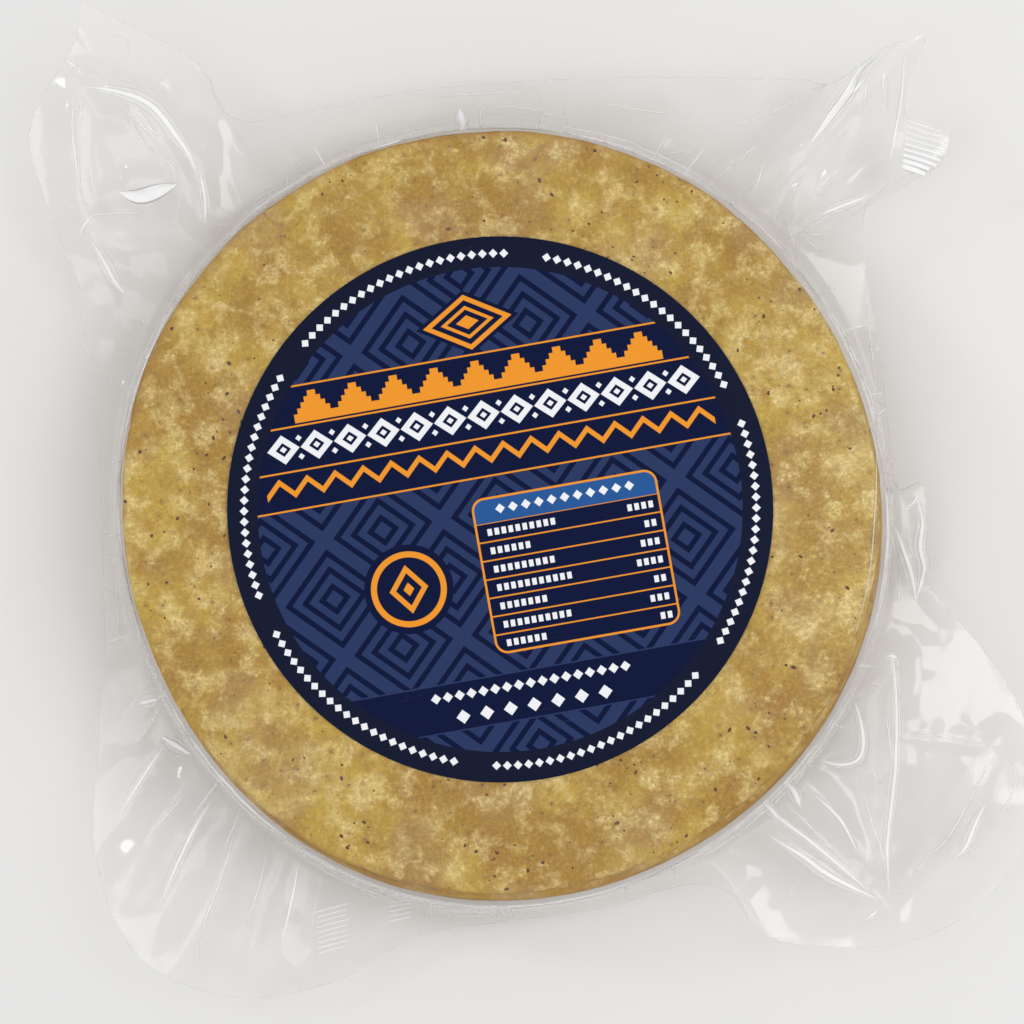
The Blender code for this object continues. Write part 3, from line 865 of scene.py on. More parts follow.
def print_panel(sheet):
    """A ruled panel with a blue head, whose rows hold a bar of small ticks at each end."""
    bench, across, up = sheet.bench, sheet.across, sheet.up
    left, right, low, high = -5.0, 29.0, -26.0, 2.4
    corner, head_foot, rows = 2.2, -2.1, 7
    middle_x, middle_y = (left + right) / 2, (low + high) / 2
    out_x = bench.greater(abs(across - middle_x) - ((right - left) / 2 - corner), 0.0)
    out_y = bench.greater(abs(up - middle_y) - ((high - low) / 2 - corner), 0.0)
    edge = bench.maths("SQRT", out_x * out_x + out_y * out_y) - corner
    body = sheet.inside(edge) * sheet.inside(up - head_foot)
    sheet.ink(sheet.inside(edge) * sheet.inside(head_foot - up), BLUE_INK)
    sheet.ink(body, NAVY_INK)

    pitch = (head_foot - low) / rows
    sheet.ink(sheet.outline(sheet.repeat(up - low, pitch), half=0.13) * body, ORANGE_INK)
    number = bench.maths("FLOOR", (up - low) / pitch)
    chance = bench.maths("FRACT", number * 0.618)
    tick_pitch, bars_left, bars_right = 1.3, -3.25, 27.95
    tick = sheet.outline(sheet.repeat(across, tick_pitch), half=0.42)
    tick = tick * sheet.outline(sheet.repeat(up - low - pitch / 2, pitch), half=0.62)
    length = bench.maths("FLOOR", 6.0 + chance * 7.0) * tick_pitch
    left_bar = sheet.inside(across - bars_left - length) * sheet.inside(bars_left - across)
    length = bench.maths("FLOOR", 2.0 + chance * 3.0) * tick_pitch
    right_bar = sheet.inside(bars_right - length - across) * sheet.inside(across - bars_right)
    sheet.ink(tick * (left_bar + right_bar) * body, WHITE_INK)

    head = sheet.inside(abs(sheet.repeat(across, 2.4)) + abs(up - 0.2) - 0.9)
    sheet.ink(head * sheet.strip(across, middle_x, half=13.2), WHITE_INK)
    sheet.ink(sheet.outline(edge, half=0.2), ORANGE_INK)


def print_roundel(sheet):
    """A plain ring with a lozenge in it, at the lower left."""
    slope = 0.8
    x = sheet.across + 19.0
    y = sheet.up + 11.5
    reach = sheet.bench.maths("SQRT", x * x + y * y)
    lozenge = abs(x) + abs(y) * slope
    field, radius, lozenge_radius, heart = 8.2, 6.4, 3.0, 1.0
    sheet.ink(sheet.inside(reach - field), NAVY_INK)
    sheet.ink(sheet.outline(reach - radius, half=0.55), ORANGE_INK)
    sheet.ink(sheet.outline(lozenge - lozenge_radius, half=0.6), ORANGE_INK)
    sheet.ink(sheet.inside(lozenge - heart), ORANGE_INK)


def print_foot(sheet):
    """Two short rows of lozenges on a plain band under the panel."""
    sheet.ink(sheet.strip(sheet.up, middle=-34.2, half=4.4), NAVY_INK)
    for height in (-38.6, -29.8):
        sheet.ink(sheet.strip(sheet.up, height, half=0.13), SLATE_INK)
    sheet.ink(sheet.lozenges(period=2.2, middle=-32.2, radius=0.95, half=18.7), WHITE_INK)
    sheet.ink(sheet.lozenges(period=4.4, middle=-36.2, radius=1.3, half=15.4), WHITE_INK)


def print_rim(sheet):
    """The dark rim with runs of small lozenges round it."""
    bench, across, up = sheet.bench, sheet.across, sheet.up
    rim, middle, radius, count = 44.4, 46.9, 0.82, 150
    # In beads: where the first run starts, a run with its gap, and half a run.
    start, run, half_run = 6.5, 25, 11
    reach = bench.maths("SQRT", across * across + up * up)
    sheet.ink(sheet.inside(rim - reach), RIM_INK)
    pitch = math.tau * middle / count
    arc = bench.maths("ARCTAN2", up, across) * middle
    beads = sheet.inside(abs(sheet.repeat(arc, pitch)) + abs(reach - middle) - radius)
    runs = sheet.outline(sheet.repeat(arc + start * pitch, run * pitch), half_run * pitch)
    sheet.ink(beads * runs, WHITE_INK)


def label_material():
    """Printed coated paper: a woven ornament in orange, white and blue on dark blue, and a rim."""
    material, bench, place = new_material("printed_label")
    turned = {"Vector": place, "Location": (*LABEL_CENTRE, 0.0), "Rotation": (0.0, 0.0, LABEL_TURN)}
    place = bench.make("ShaderNodeMapping", {"vector_type": "TEXTURE"}, turned)
    across, up, _ = bench.split(place)
    sheet = Print(bench, across, up)
    print_lattice(sheet)
    print_steps(sheet)
    print_row(sheet)
    print_zigzag(sheet)
    print_crown(sheet)
    print_panel(sheet)
    print_roundel(sheet)
    print_foot(sheet)
    print_rim(sheet)

    # Faint scuffs and the tooth of coated paper.
    tooth = bench.noise(place, 0.5, 3.0, 0.6)
    scuff = bench.noise(bench.vector("MULTIPLY", place, (0.35, 3.0, 1.0)), 2.0, 3.0, 0.7)
    scuff = bench.ease(scuff, 0.62, 0.80) * bench.ease(bench.noise(place, 16.0, 2.0), 0.50, 0.68)
    colour = bench.mix(scuff * 0.10, sheet.colour, SCUFF_GREY)
    colour = bench.shade(colour, 0.94 + tooth * 0.12)
    bump = bench.bump(tooth, strength=0.25, distance=0.02 * MM)
    coat = bench.coat(colour, roughness=0.55 + tooth * 0.10 + scuff * 0.2, gloss=0.05, bump=bump)
    finish_material(bench, coat)
    return material


def round_radius(angles):
    """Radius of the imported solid's wall at these angles: a circle with a few low lobes."""
    lobes = 0.0
    for count, share, first in WALL_LOBES:
        lobes = lobes + share * np.cos(count * (angles - math.radians(first)))
    return WALL_RADIUS * (1.0 + lobes)


def wall_radius(angles):
    """Radius of the film's wall at these angles, with the bulge over the lower tortillas."""
    bulge = np.clip(np.cos(angles - LOWER_HEADING), 0.0, 1.0) ** BULGE_POWER
    return round_radius(angles) + LOWER_SHIFT * bulge


def top_edge_radius(angles):
    """Radius of the top tortilla's edge, seen from the pack's centre."""
    shift = TOP_SHIFT * np.cos(angles - TOP_HEADING)
    return round_radius(angles) - FILM_SKIN - TOP_FILM_GAP + shift


def smooth_path(corners, slack=None, closed=False, per_stretch=24):
    """A smooth curve through the corners, and each one's row number. Slack under 1 sharpens a corner."""
    steps = np.arange(per_stretch) / per_stretch
    square = steps**2
    cube = steps**3
    count = len(corners)
    slack = np.ones(count) if slack is None else slack
    last = count if closed else count - 1
    rows = []
    for i in range(last):
        if closed:
            picks = [(i + k) % count for k in (-1, 0, 1, 2)]
        else:
            picks = [min(max(i + k, 0), count - 1) for k in (-1, 0, 1, 2)]
        before, here, after, beyond = (corners[pick] for pick in picks)
        leave = (after - before) / 2 * slack[picks[1]]
        arrive = (beyond - here) / 2 * slack[picks[2]]
        rows.append(
            np.outer(2 * cube - 3 * square + 1, here)
            + np.outer(cube - 2 * square + steps, leave)
            + np.outer(3 * square - 2 * cube, after)
            + np.outer(cube - square, arrive)
        )
    if not closed:
        rows.append(corners[-1:])
    return np.vstack(rows), np.arange(count) * per_stretch


def lengths_along(curve):
    """How far along a curve each of its points lies."""
    return np.concatenate([[0.0], np.cumsum(np.linalg.norm(np.diff(curve, axis=0), axis=1))])


def points_along(curve, length, places):
    """The points of a curve at these places along it."""
    return np.stack([np.interp(places, length, column) for column in curve.T], axis=1)


def even_points(curve, step):
    """Points at even steps along a curve."""
    length = lengths_along(curve)
    count = max(4, int(length[-1] / step))
    return points_along(curve, length, np.linspace(0.0, length[-1], count + 1))


def rim_stations(count):
    """Even stations along the rim, and the angle at which each meets the stack."""
    corners = [point for _, points in RIM_STRETCHES for point in points]
    slack = [point[3] if len(point) > 3 else 1.0 for point in corners]
    corners = np.array([point[:3] for point in corners]) * MM
    feet = np.cumsum([0] + [len(points) for _, points in RIM_STRETCHES[:-1]])
    curve, corner_rows = smooth_path(corners, slack, closed=True)
    closed = np.vstack([curve, curve[:1]])
    length = lengths_along(closed)
    foot_angles = np.unwrap(np.arctan2(corners[feet, 1], corners[feet, 0]))
    even = np.arange(count) / count * length[-1]
    angles = np.interp(
        even,
        np.append(length[corner_rows[feet]], length[-1]),
        np.append(foot_angles, foot_angles[0] - 2 * math.pi),
    )
    return points_along(closed, length, even), angles


def line_distance(x, y, points):
    """Distance to a line through points, and how far along it the nearest place lies, from 0 to 1."""
    lengths = np.linalg.norm(np.diff(points, axis=0), axis=1)
    reached = np.concatenate([[0.0], np.cumsum(lengths)]) / lengths.sum()
    nearest = np.full_like(x, np.inf)
    place = np.zeros_like(x)
    for i in range(len(points) - 1):
        along = points[i + 1] - points[i]
        share = ((x - points[i][0]) * along[0] + (y - points[i][1]) * along[1]) / (along @ along)
        share = np.clip(share, 0.0, 1.0)
        away = np.hypot(x - points[i][0] - share * along[0], y - points[i][1] - share * along[1])
        closer = away < nearest
        nearest = np.where(closer, away, nearest)
        place = np.where(closer, reached[i] + share * (reached[i + 1] - reached[i]), place)
    return nearest, place


def broad_rise(x, y):
    """Rise of the border at X and Y, from the solid's folds and its pocket."""
    ridge = np.zeros_like(x)
    valley = np.zeros_like(x)
    for _, start, end, first, last, half_width in BROAD_FOLDS:
        away, share = line_distance(x, y, np.array((start, end)) * MM)
        flank = np.clip(1.0 - (away / (half_width * MM)) ** 2, 0.0, 1.0) ** 2
        fold = flank * (first + (last - first) * share) * MM
        ridge = np.maximum(ridge, fold)
        valley = np.minimum(valley, fold)
    pocket_x = (x / MM - POCKET_CENTRE[0]) / POCKET_RADII[0]
    pocket_y = (y / MM - POCKET_CENTRE[1]) / POCKET_RADII[1]
    pocket = POCKET_RISE * MM * np.clip(1.0 - (pocket_x**2 + pocket_y**2) ** 2, 0.0, 1.0)
    return np.maximum(ridge, pocket) + valley


def pleats():
    """Seeded short creases that run out from the stack, as heights, half widths and points."""
    chance = np.random.default_rng(PLEAT_SEED)
    folds = []
    for _ in range(PLEAT_COUNT):
        angle = chance.uniform(0.0, math.tau)
        start = WALL_RADIUS / MM + chance.uniform(*PLEAT_STARTS)
        length = chance.uniform(*PLEAT_LENGTHS)
        lean = chance.normal(0.0, PLEAT_LEAN)
        height = chance.uniform(*PLEAT_HEIGHTS) * chance.choice((1.0, 1.0, -1.0))
        first = np.array((math.cos(angle), math.sin(angle))) * start
        last = first + length * np.array((math.cos(angle + lean), math.sin(angle + lean)))
        folds.append((height, chance.uniform(*PLEAT_HALF_WIDTHS), (tuple(first), tuple(last))))
    return folds


def ring_lines():
    """Seeded thin lines that run round the stack, as girths in millimetres and points in metres."""
    chance = np.random.default_rng(RING_SEED)
    nearest, farthest = RING_OFFSETS
    lines = []
    for _ in range(RING_COUNT):
        start = chance.uniform(0.0, math.tau)
        angles = start + np.linspace(0.0, math.radians(chance.uniform(*RING_SPANS)), RING_POINTS)
        offset = nearest + (farthest - nearest) * chance.random() ** RING_CROWDING
        drift = chance.uniform(-RING_DRIFT, RING_DRIFT) * (angles - start) / (angles[-1] - start)
        slow_wave = 0.16 * np.sin(angles * 31.0 + offset * 9.0)
        quick_wave = 0.10 * np.sin(angles * 67.0)
        away = np.maximum(offset + drift + (slow_wave + quick_wave), RING_LEAST_OFFSET)
        radius = wall_radius(angles) + away * MM
        points = np.stack([radius * np.cos(angles), radius * np.sin(angles)], axis=1)
        lines.append((chance.uniform(*RING_GIRTHS), points))
    return lines


def crease_rise(x, y):
    """Rise of the film at X and Y from its sharp creases."""
    ridge = np.zeros_like(x)
    valley = np.zeros_like(x)
    for height, half_width, points in CREASES + tuple(pleats()):
        away, share = line_distance(x, y, np.array(points) * MM)
        offset = away / (half_width * MM)
        flank = np.clip(1.0 + CREST_SOFTNESS - np.sqrt(offset**2 + CREST_SOFTNESS**2), 0.0, 1.0)
        fade = np.clip(np.minimum(share, 1.0 - share) / CREASE_FADE, 0.0, 1.0)
        fold = flank * (CREASE_END_SHARE + (1.0 - CREASE_END_SHARE) * fade) * height * MM
        ridge = np.maximum(ridge, fold)
        valley = np.minimum(valley, fold)
    return ridge + valley


def facet_rise(x, y):
    """Low straight-sided waves that break the slack film into flat facets."""
    rise = np.zeros_like(x)
    for length, height, heading in FACET_WAVES:
        heading = math.radians(heading)
        phase = (x * math.cos(heading) + y * math.sin(heading)) / (length * MM) + heading
        beside = (y * math.cos(heading) - x * math.sin(heading)) / (length * MM)
        phase = phase + FACET_BEND * np.sin(beside * FACET_BEND_PITCH)
        rise += height * MM * (0.5 - 2.0 * np.abs(phase - np.floor(phase) - 0.5))
    return rise


def border_place(rim, angles, share):
    """The border at a share of the way from the wall to the rim: X and Y, middle height, how settled."""
    wall = wall_radius(angles)
    foot = np.stack([wall * np.cos(angles), wall * np.sin(angles)], axis=1)
    reach = np.linalg.norm(rim[:, :2] - foot, axis=1)
    skirt = np.minimum(SKIRT_REACH, SKIRT_SHARE * reach)
    place = foot + share * (rim[:, :2] - foot)
    settle = 1.0 - np.clip(1.0 - share * reach / skirt, 0.0, 1.0) ** SKIRT_POWER
    slack = np.clip(reach / SLACK_REACH - SLACK_START, 0.0, 1.0)
    slack = slack * min(1.0, 4 * share * (1 - share) + SLACK_AT_ENDS)
    facets = facet_rise(place[:, 0], place[:, 1]) * slack
    broad = broad_rise(place[:, 0], place[:, 1]) * BROAD_SHARE + facets
    middle = SEAM_HEIGHT + (rim[:, 2] - SEAM_HEIGHT) * share + broad * settle
    return place, middle, settle


def ring(angles, radius, height, centre=(0.0, 0.0)):
    """Points round a centre at these angles."""
    x = centre[0] + radius * np.cos(angles)
    y = centre[1] + radius * np.sin(angles)
    return np.stack([x, y, np.broadcast_to(height, angles.shape)], axis=1)


def upper_film_rows(rim, angles):
    """The rows of points of the upper film, from its middle to the rim."""
    wall = wall_radius(angles)
    edge = top_edge_radius(angles) + EDGE_CLEARANCE
    rows = []
    for share in TOP_SHARES:
        wander = TOP_WANDER * np.sin(7 * angles + 9 * share) * np.cos(4 * angles - 21 * share)
        rows.append(ring(angles, edge * share, PACK_HEIGHT - TOP_SAG + wander))
    for turn in np.linspace(0.0, math.pi / 2, SHOULDER_STEPS + 1):
        out = edge + (wall - edge) * math.sin(turn)
        rows.append(ring(angles, out, PACK_HEIGHT - SHOULDER * (1 - math.cos(turn))))
    for step in range(1, UPPER_STEPS + 1):
        share = (step / UPPER_STEPS) ** BORDER_CROWDING
        place, middle, settle = border_place(rim, angles, share)
        towards_rim = 1.0 - share**RIM_FADE_POWER
        crease = crease_rise(place[:, 0], place[:, 1]) * towards_rim
        height = (middle + crease + SHEET_GAP * towards_rim) * settle
        height = np.maximum(height + (PACK_HEIGHT - SHOULDER) * (1 - settle), LEAST_HEIGHT)
        rows.append(np.column_stack([place, height + crease * (1 - settle) * WALL_CREASE_SHARE]))
    return rows


def lower_film_rows(rim, angles, rim_row):
    """The rows of points of the lower film, from the rim to its middle."""
    wall = wall_radius(angles)
    rows = [rim_row]
    for step in range(LOWER_STEPS - 1, 0, -1):
        share = (step / LOWER_STEPS) ** BORDER_CROWDING
        place, middle, settle = border_place(rim, angles, share)
        towards_rim = 1.0 - share**RIM_FADE_POWER
        crease = crease_rise(place[:, 0], place[:, 1]) * LOWER_CREASE_SHARE * towards_rim
        height = (middle + crease - SHEET_GAP * towards_rim) * settle
        height = np.maximum(height, LEAST_HEIGHT - 2 * SHEET_GAP)
        rows.append(np.column_stack([place, height + SHOULDER * (1 - settle)]))
    for turn in np.linspace(math.pi / 2, 0.0, SHOULDER_STEPS):
        out = wall - SHOULDER * (1 - math.sin(turn))
        rows.append(ring(angles, out, SHOULDER * (1 - math.cos(turn))))
    rows.append(ring(angles, wall * UNDERSIDE_SHARE, 0.0))
    return rows


def new_piece(name, points, faces, material):
    """A smooth mesh object in the pack's collection."""
    mesh = bpy.data.meshes.new(name)
    mesh.from_pydata(np.asarray(points).tolist(), [], faces)
    mesh.validate()
    mesh.materials.append(material)
    mesh.shade_smooth()
    obj = bpy.data.objects.new(name, mesh)
    bpy.context.scene.collection.objects.link(obj)
    return obj


def shell(name, rows, top, bottom, material):
    """A smooth shell through rings of points, closed by a pole at each end that has one."""
    count = len(rows[0])
    poles = [pole for pole in (top, bottom) if pole is not None]
    points = np.vstack([*rows, poles])
    start = np.arange(count)
    following = (start + 1) % count
    faces = []
    for band in range(len(rows) - 1):
        here = band * count
        beyond = here + count
        corners = (here + start, here + following, beyond + following, beyond + start)
        faces += np.stack(corners, axis=1).tolist()
    pole = len(rows) * count
    last = (len(rows) - 1) * count
    if top is not None:
        faces += np.stack([np.full(count, pole), following, start], axis=1).tolist()
        pole += 1
    if bottom is not None:
        faces += np.stack([np.full(count, pole), last + start, last + following], axis=1).tolist()
    return new_piece(name, points, faces, material)


def make_film(material):
    """The upper and the lower sheet of the pouch."""
    rim, angles = rim_stations(RIM_STATIONS)
    upper_rows = upper_film_rows(rim, angles)
    lower_rows = lower_film_rows(rim, angles, upper_rows[-1])
    upper = shell("pouch_upper_film", upper_rows, (0.0, 0.0, PACK_HEIGHT - TOP_SAG), None, material)
    lower = shell("pouch_lower_film", lower_rows, None, (0.0, 0.0, 0.0), material)
    return upper, lower


def geometry_tree(name, inputs):
    """A Geometry Nodes tree with these named inputs, its bench, and its inputs' wires."""
    tree = bpy.data.node_groups.new(name, "GeometryNodeTree")
    tree.interface.new_socket("Geometry", in_out="INPUT", socket_type="NodeSocketGeometry")
    for label, kind in inputs.items():
        tree.interface.new_socket(label, in_out="INPUT", socket_type=f"NodeSocket{kind}")
    tree.interface.new_socket("Geometry", in_out="OUTPUT", socket_type="NodeSocketGeometry")
    bench = Bench(tree)
    first = bench.make("NodeGroupInput")
    wires = {label: bench.also(first, label) for label in ("Geometry", *inputs)}
    return tree, bench, wires


def end_tree(bench, geometry, material):
    """Makes the geometry real, gives it its material, and ends the tree."""
    geometry = bench.make("GeometryNodeRealizeInstances", None, {"Geometry": geometry})
    finish = {"Geometry": geometry, "Material": material}
    geometry = bench.make("GeometryNodeSetMaterial", None, finish)
    finish = {"Geometry": geometry, "Shade Smooth": True}
    geometry = bench.make("GeometryNodeSetShadeSmooth", None, finish)
    bench.make("NodeGroupOutput", None, {"Geometry": geometry})


def grow(name, tree, values, seed_mesh=None):
    """A plain mesh object: what a tree makes of a mesh with these values of its named inputs."""
    mesh = seed_mesh or bpy.data.meshes.new(name)
    obj = bpy.data.objects.new(name, mesh)
    bpy.context.scene.collection.objects.link(obj)
    modifier = obj.modifiers.new(name, "NODES")
    modifier.node_group = tree
    identifiers = {
        item.name: item.identifier
        for item in tree.interface.items_tree
        if item.item_type == "SOCKET" and item.in_out == "INPUT"
    }
    for label, value in values.items():
        modifier[identifiers[label]] = value
    depsgraph = bpy.context.evaluated_depsgraph_get()
    result = bpy.data.meshes.new_from_object(obj.evaluated_get(depsgraph), depsgraph=depsgraph)
    obj.modifiers.clear()
    obj.data = result
    result.name = name
    return obj


def welt_tree(material):
    """A tree that turns lines into low welts, as wide at each point as its girth says."""
    tree, bench, wires = geometry_tree("film_welts", {"Sides": "Int", "Flatness": "Float"})
    path = bench.make("GeometryNodeMeshToCurve", None, {"Mesh": wires["Geometry"]})
    path = bench.make("GeometryNodeSetCurveNormal", {"mode": "Z_UP"}, {"Curve": path})
    girth = bench.make("GeometryNodeInputNamedAttribute", {"data_type": "FLOAT"}, {"Name": "girth"})
    circle = {"Resolution": wires["Sides"], "Radius": 1.0}
    profile = bench.make("GeometryNodeCurvePrimitiveCircle", None, circle)
    squash = {"Geometry": profile, "Scale": bench.join(1.0, wires["Flatness"], 1.0)}
    profile = bench.make("GeometryNodeTransform", None, squash)
    sweep = {"Curve": path, "Profile Curve": profile, "Fill Caps": True, "Scale": girth}
    end_tree(bench, bench.make("GeometryNodeCurveToMesh", None, sweep), material)
    return tree


def line_mesh(name, paths):
    """A mesh of lines. Each path is its points, a girth for each point, and whether it closes."""
    points, edges, girths = [], [], []
    for places, girth, closed in paths:
        first = len(points)
        points += [tuple(place) for place in places]
        girths += list(girth)
        edges += [(first + i, first + i + 1) for i in range(len(places) - 1)]
        if closed:
            edges.append((first + len(places) - 1, first))
    mesh = bpy.data.meshes.new(name)
    mesh.from_pydata(points, edges, [])
    attribute = mesh.attributes.new("girth", "FLOAT", "POINT")
    attribute.data.foreach_set("value", np.array(girths, dtype=np.float32))
    return mesh


class FilmLines:
    """Lines laid on the upper film: faint ones, white ones as painted highlights, and soft bands of painted
    glow beside the widest.
    """

    def __init__(self, upper):
        self.film = BVHTree.FromObject(upper, bpy.context.evaluated_depsgraph_get())
        self.chance = np.random.default_rng(PLEAT_SEED + 1)
        self.faint, self.white, self.bands = [], [], []

    def lay(self, paths, points, girth, tapered=True):
        """Lays a line on the film: points at even steps, with its girth shrinking to both ends."""
        kept = []
        for x, y in even_points(points, LINE_STEP):
            hit = self.film.ray_cast(Vector((x, y, DROP_HEIGHT)), Vector((0.0, 0.0, -1.0)))[0]
            if hit:
                kept.append((x, y, hit.z))
        if len(kept) < 4:
            return
        share = np.linspace(0.0, 1.0, len(kept))
        taper = np.clip(np.sin(math.pi * share), TAPER_LEAST, 1.0) ** TAPER_POWER
        girths = girth * (taper if tapered else np.ones(len(kept)))
        kept = np.array(kept)
        kept[:, 2] -= girths * LINE_SINK
        paths.append((kept, girths, False))

    def faint_or_white(self, white_share):
        """Draws which of the two a chance line is."""
        return self.white if self.chance.random() < white_share else self.faint

    def lay_drawn_lines(self):
        """The lines of the film's own pattern, the wider white as painted highlights, with a soft band of
        painted glow beside the wide ones.
        """
        for girth, points in FILM_LINES:
            curve, _ = smooth_path(np.array(points) * MM, per_stretch=8)
            paths = self.white if girth >= WHITE_LINE_GIRTH else self.faint
            self.lay(paths, curve, girth * LINE_WIDENING * MM)
            if girth >= BAND_GIRTH:
                self.lay(self.bands, curve, min(girth, BAND_MOST_GIRTH) * BAND_WIDENING * MM)

    def lay_pleats(self):
        """A line on some of the pleats."""
        least_x, least_y, most_y = TAB_EDGE
        for _, _, points in pleats():
            if points[0][0] > least_x and least_y < points[0][1] < most_y:
                continue
            if self.chance.random() > PLEAT_LINE_SHARE:
                continue
            paths = self.faint_or_white(WHITE_PLEAT_SHARE)
            self.lay(paths, np.array(points) * MM, self.chance.uniform(*PLEAT_LINE_GIRTHS) * MM)

    def lay_seal_ribs(self):
        """The rows of ribs pressed into the film at its seal, drawn white as painted highlights."""
        for _, start, along, step, count, least, most in SEAL_RIBS:
            for number in range(count):
                first = np.array(start) + np.array(step) * number
                last = first + np.array(along) * self.chance.uniform(*RIB_LENGTHS)
                girth = least + (most - least) * (number / (count - 1)) ** 2
                self.lay(self.white, np.array((first, last)) * MM, girth * MM, tapered=False)

    def lay_rings(self):
        """The thin lines round the stack."""
        for girth, points in ring_lines():
            self.lay(self.faint_or_white(WHITE_RING_SHARE), points, girth * MM)


def make_film_lines(upper, films):
    """The film's pinched lines, faint and white, the bands beside them, and the cut edge; the white lines
    and the bands are painted highlight and glow.
    """
    lines = FilmLines(upper)
    lines.lay_drawn_lines()
    lines.lay_pleats()
    lines.lay_seal_ribs()
    lines.lay_rings()
    rim, _ = rim_stations(RIM_STATIONS)
    cut_edge = [(rim, np.full(len(rim), RIM_GIRTH), True)]
    pieces = []
    for name, paths, film, flatness in (
        ("film_soft_bands", lines.bands, "painted_glow_film", BAND_FLATNESS),
        ("film_faint_lines", lines.faint, "pinched_film_and_painted_highlight", LINE_FLATNESS),
        ("film_white_lines", lines.white, "painted_highlight_film", WHITE_FLATNESS),
        ("film_cut_edge", cut_edge, "pinched_film_and_painted_highlight", 1.0),
    ):
        values = {"Sides": LINE_SIDES, "Flatness": flatness}
        pieces.append(grow(name, welt_tree(films[film]), values, line_mesh(name, paths)))
    return pieces


def tortilla_outline(bench, wires, angle):
    """A tortilla's outline: the wall's lobes, with a small ripple of its own."""
    outline = 1.0
    for count, share, first in WALL_LOBES:
        outline = outline + bench.maths("COSINE", (angle - math.radians(first)) * float(count)) * share
    ripple = bench.make(
        "ShaderNodeTexNoise",
        {"noise_dimensions": "4D"},
        {
            "Vector": bench.join(bench.maths("COSINE", angle), bench.maths("SINE", angle), 0.0),
            "W": wires["Seed"],
            "Scale": 5.0,
            "Detail": 3.0,
            "Roughness": 0.55,
        },
    )
    return wires["Radius"] * outline + (ripple - 0.5) * wires["Ripple"]


def tortilla_tree(material):
    """A tree that makes one tortilla: a thin disc with a wavy outline, a soft rim and low relief."""
    measures = ("Radius", "Thickness", "Rim", "Relief", "Ripple", "Seed")
    inputs = {"Sides": "Int", "Rings": "Int", **dict.fromkeys(measures, "Float"), "Middle": "Vector"}
    tree, bench, wires = geometry_tree("tortilla", inputs)
    disc = bench.make(
        "GeometryNodeMeshCylinder",
        {"fill_type": "TRIANGLE_FAN"},
        {
            "Vertices": wires["Sides"],
            "Side Segments": 3,
            "Fill Segments": wires["Rings"],
            "Radius": 1.0,
            "Depth": 2.0,
        },
        "Mesh",
    )
    x, y, side = bench.split(bench.make("GeometryNodeInputPosition"))
    spread = bench.maths("SQRT", x * x + y * y)
    edge = tortilla_outline(bench, wires, bench.maths("ARCTAN2", y, x))

    # A tenth of the rings shape the soft rim, and the rest lie evenly inside it.
    inner = bench.clamp(spread / FLAT_RINGS)
    outer = bench.clamp((spread - FLAT_RINGS) / (1.0 - FLAT_RINGS)) * (math.pi / 2)
    radius = (edge - wires["Rim"]) * inner + wires["Rim"] * bench.maths("SINE", outer)
    height = side * (wires["Thickness"] / 2.0) * bench.maths("COSINE", outer * RIM_TURN)

    safe = bench.greater(spread, 0.000001)
    flat_x = x / safe * radius
    flat_y = y / safe * radius
    lumps = bench.make(
        "ShaderNodeTexNoise",
        {"noise_dimensions": "4D"},
        {
            "Vector": bench.join(flat_x, flat_y, height),
            "W": wires["Seed"],
            "Scale": 1.0 / LUMP_SIZE,
            "Detail": 4.0,
            "Roughness": 0.6,
        },
    )
    dome = bench.clamp((side - 0.5) * 2.0)
    height = height + (lumps - LUMP_MIDDLE) * wires["Relief"] * dome
    final = bench.vector("ADD", bench.join(flat_x, flat_y, height), wires["Middle"])
    geometry = bench.make("GeometryNodeSetPosition", None, {"Geometry": disc, "Position": final})
    end_tree(bench, geometry, material)
    return tree


def make_tortillas(material):
    """The twelve tortillas, each a little off the stack's centre and none outside the film."""
    tree = tortilla_tree(material)
    chance = np.random.default_rng(TORTILLA_SEED)
    pieces = []
    for number in range(TORTILLA_COUNT):
        on_top = number == TORTILLA_COUNT - 1
        turn = chance.uniform(0.0, math.tau)
        shift = chance.uniform(0.0, MOST_STRAY) * MM
        x = shift * math.cos(turn) + LOWER_SHIFT * math.cos(LOWER_HEADING)
        y = shift * math.sin(turn) + LOWER_SHIFT * math.sin(LOWER_HEADING)
        radius = TORTILLA_RADIUS - shift - chance.uniform(*EDGE_GAPS) * MM
        if on_top:
            x = TOP_SHIFT * math.cos(TOP_HEADING)
            y = TOP_SHIFT * math.sin(TOP_HEADING)
            radius = TORTILLA_RADIUS - TOP_EDGE_GAP
        values = {
            "Sides": TOP_SIDES if on_top else LOWER_SIDES,
            "Rings": TOP_RINGS if on_top else LOWER_RINGS,
            "Radius": radius,
            "Thickness": TORTILLA_THICKNESS - LAYER_GAP,
            "Rim": TORTILLA_RIM,
            "Relief": TOP_RELIEF if on_top else 0.0,
            "Ripple": TOP_RIPPLE if on_top else LOWER_RIPPLE,
            "Seed": float(number * SEED_STEP),
            "Middle": (x, y, FILM_SKIN + TORTILLA_THICKNESS * (number + 0.5)),
        }
        pieces.append(grow(f"tortilla_{number + 1:02d}", tree, values))
    return pieces


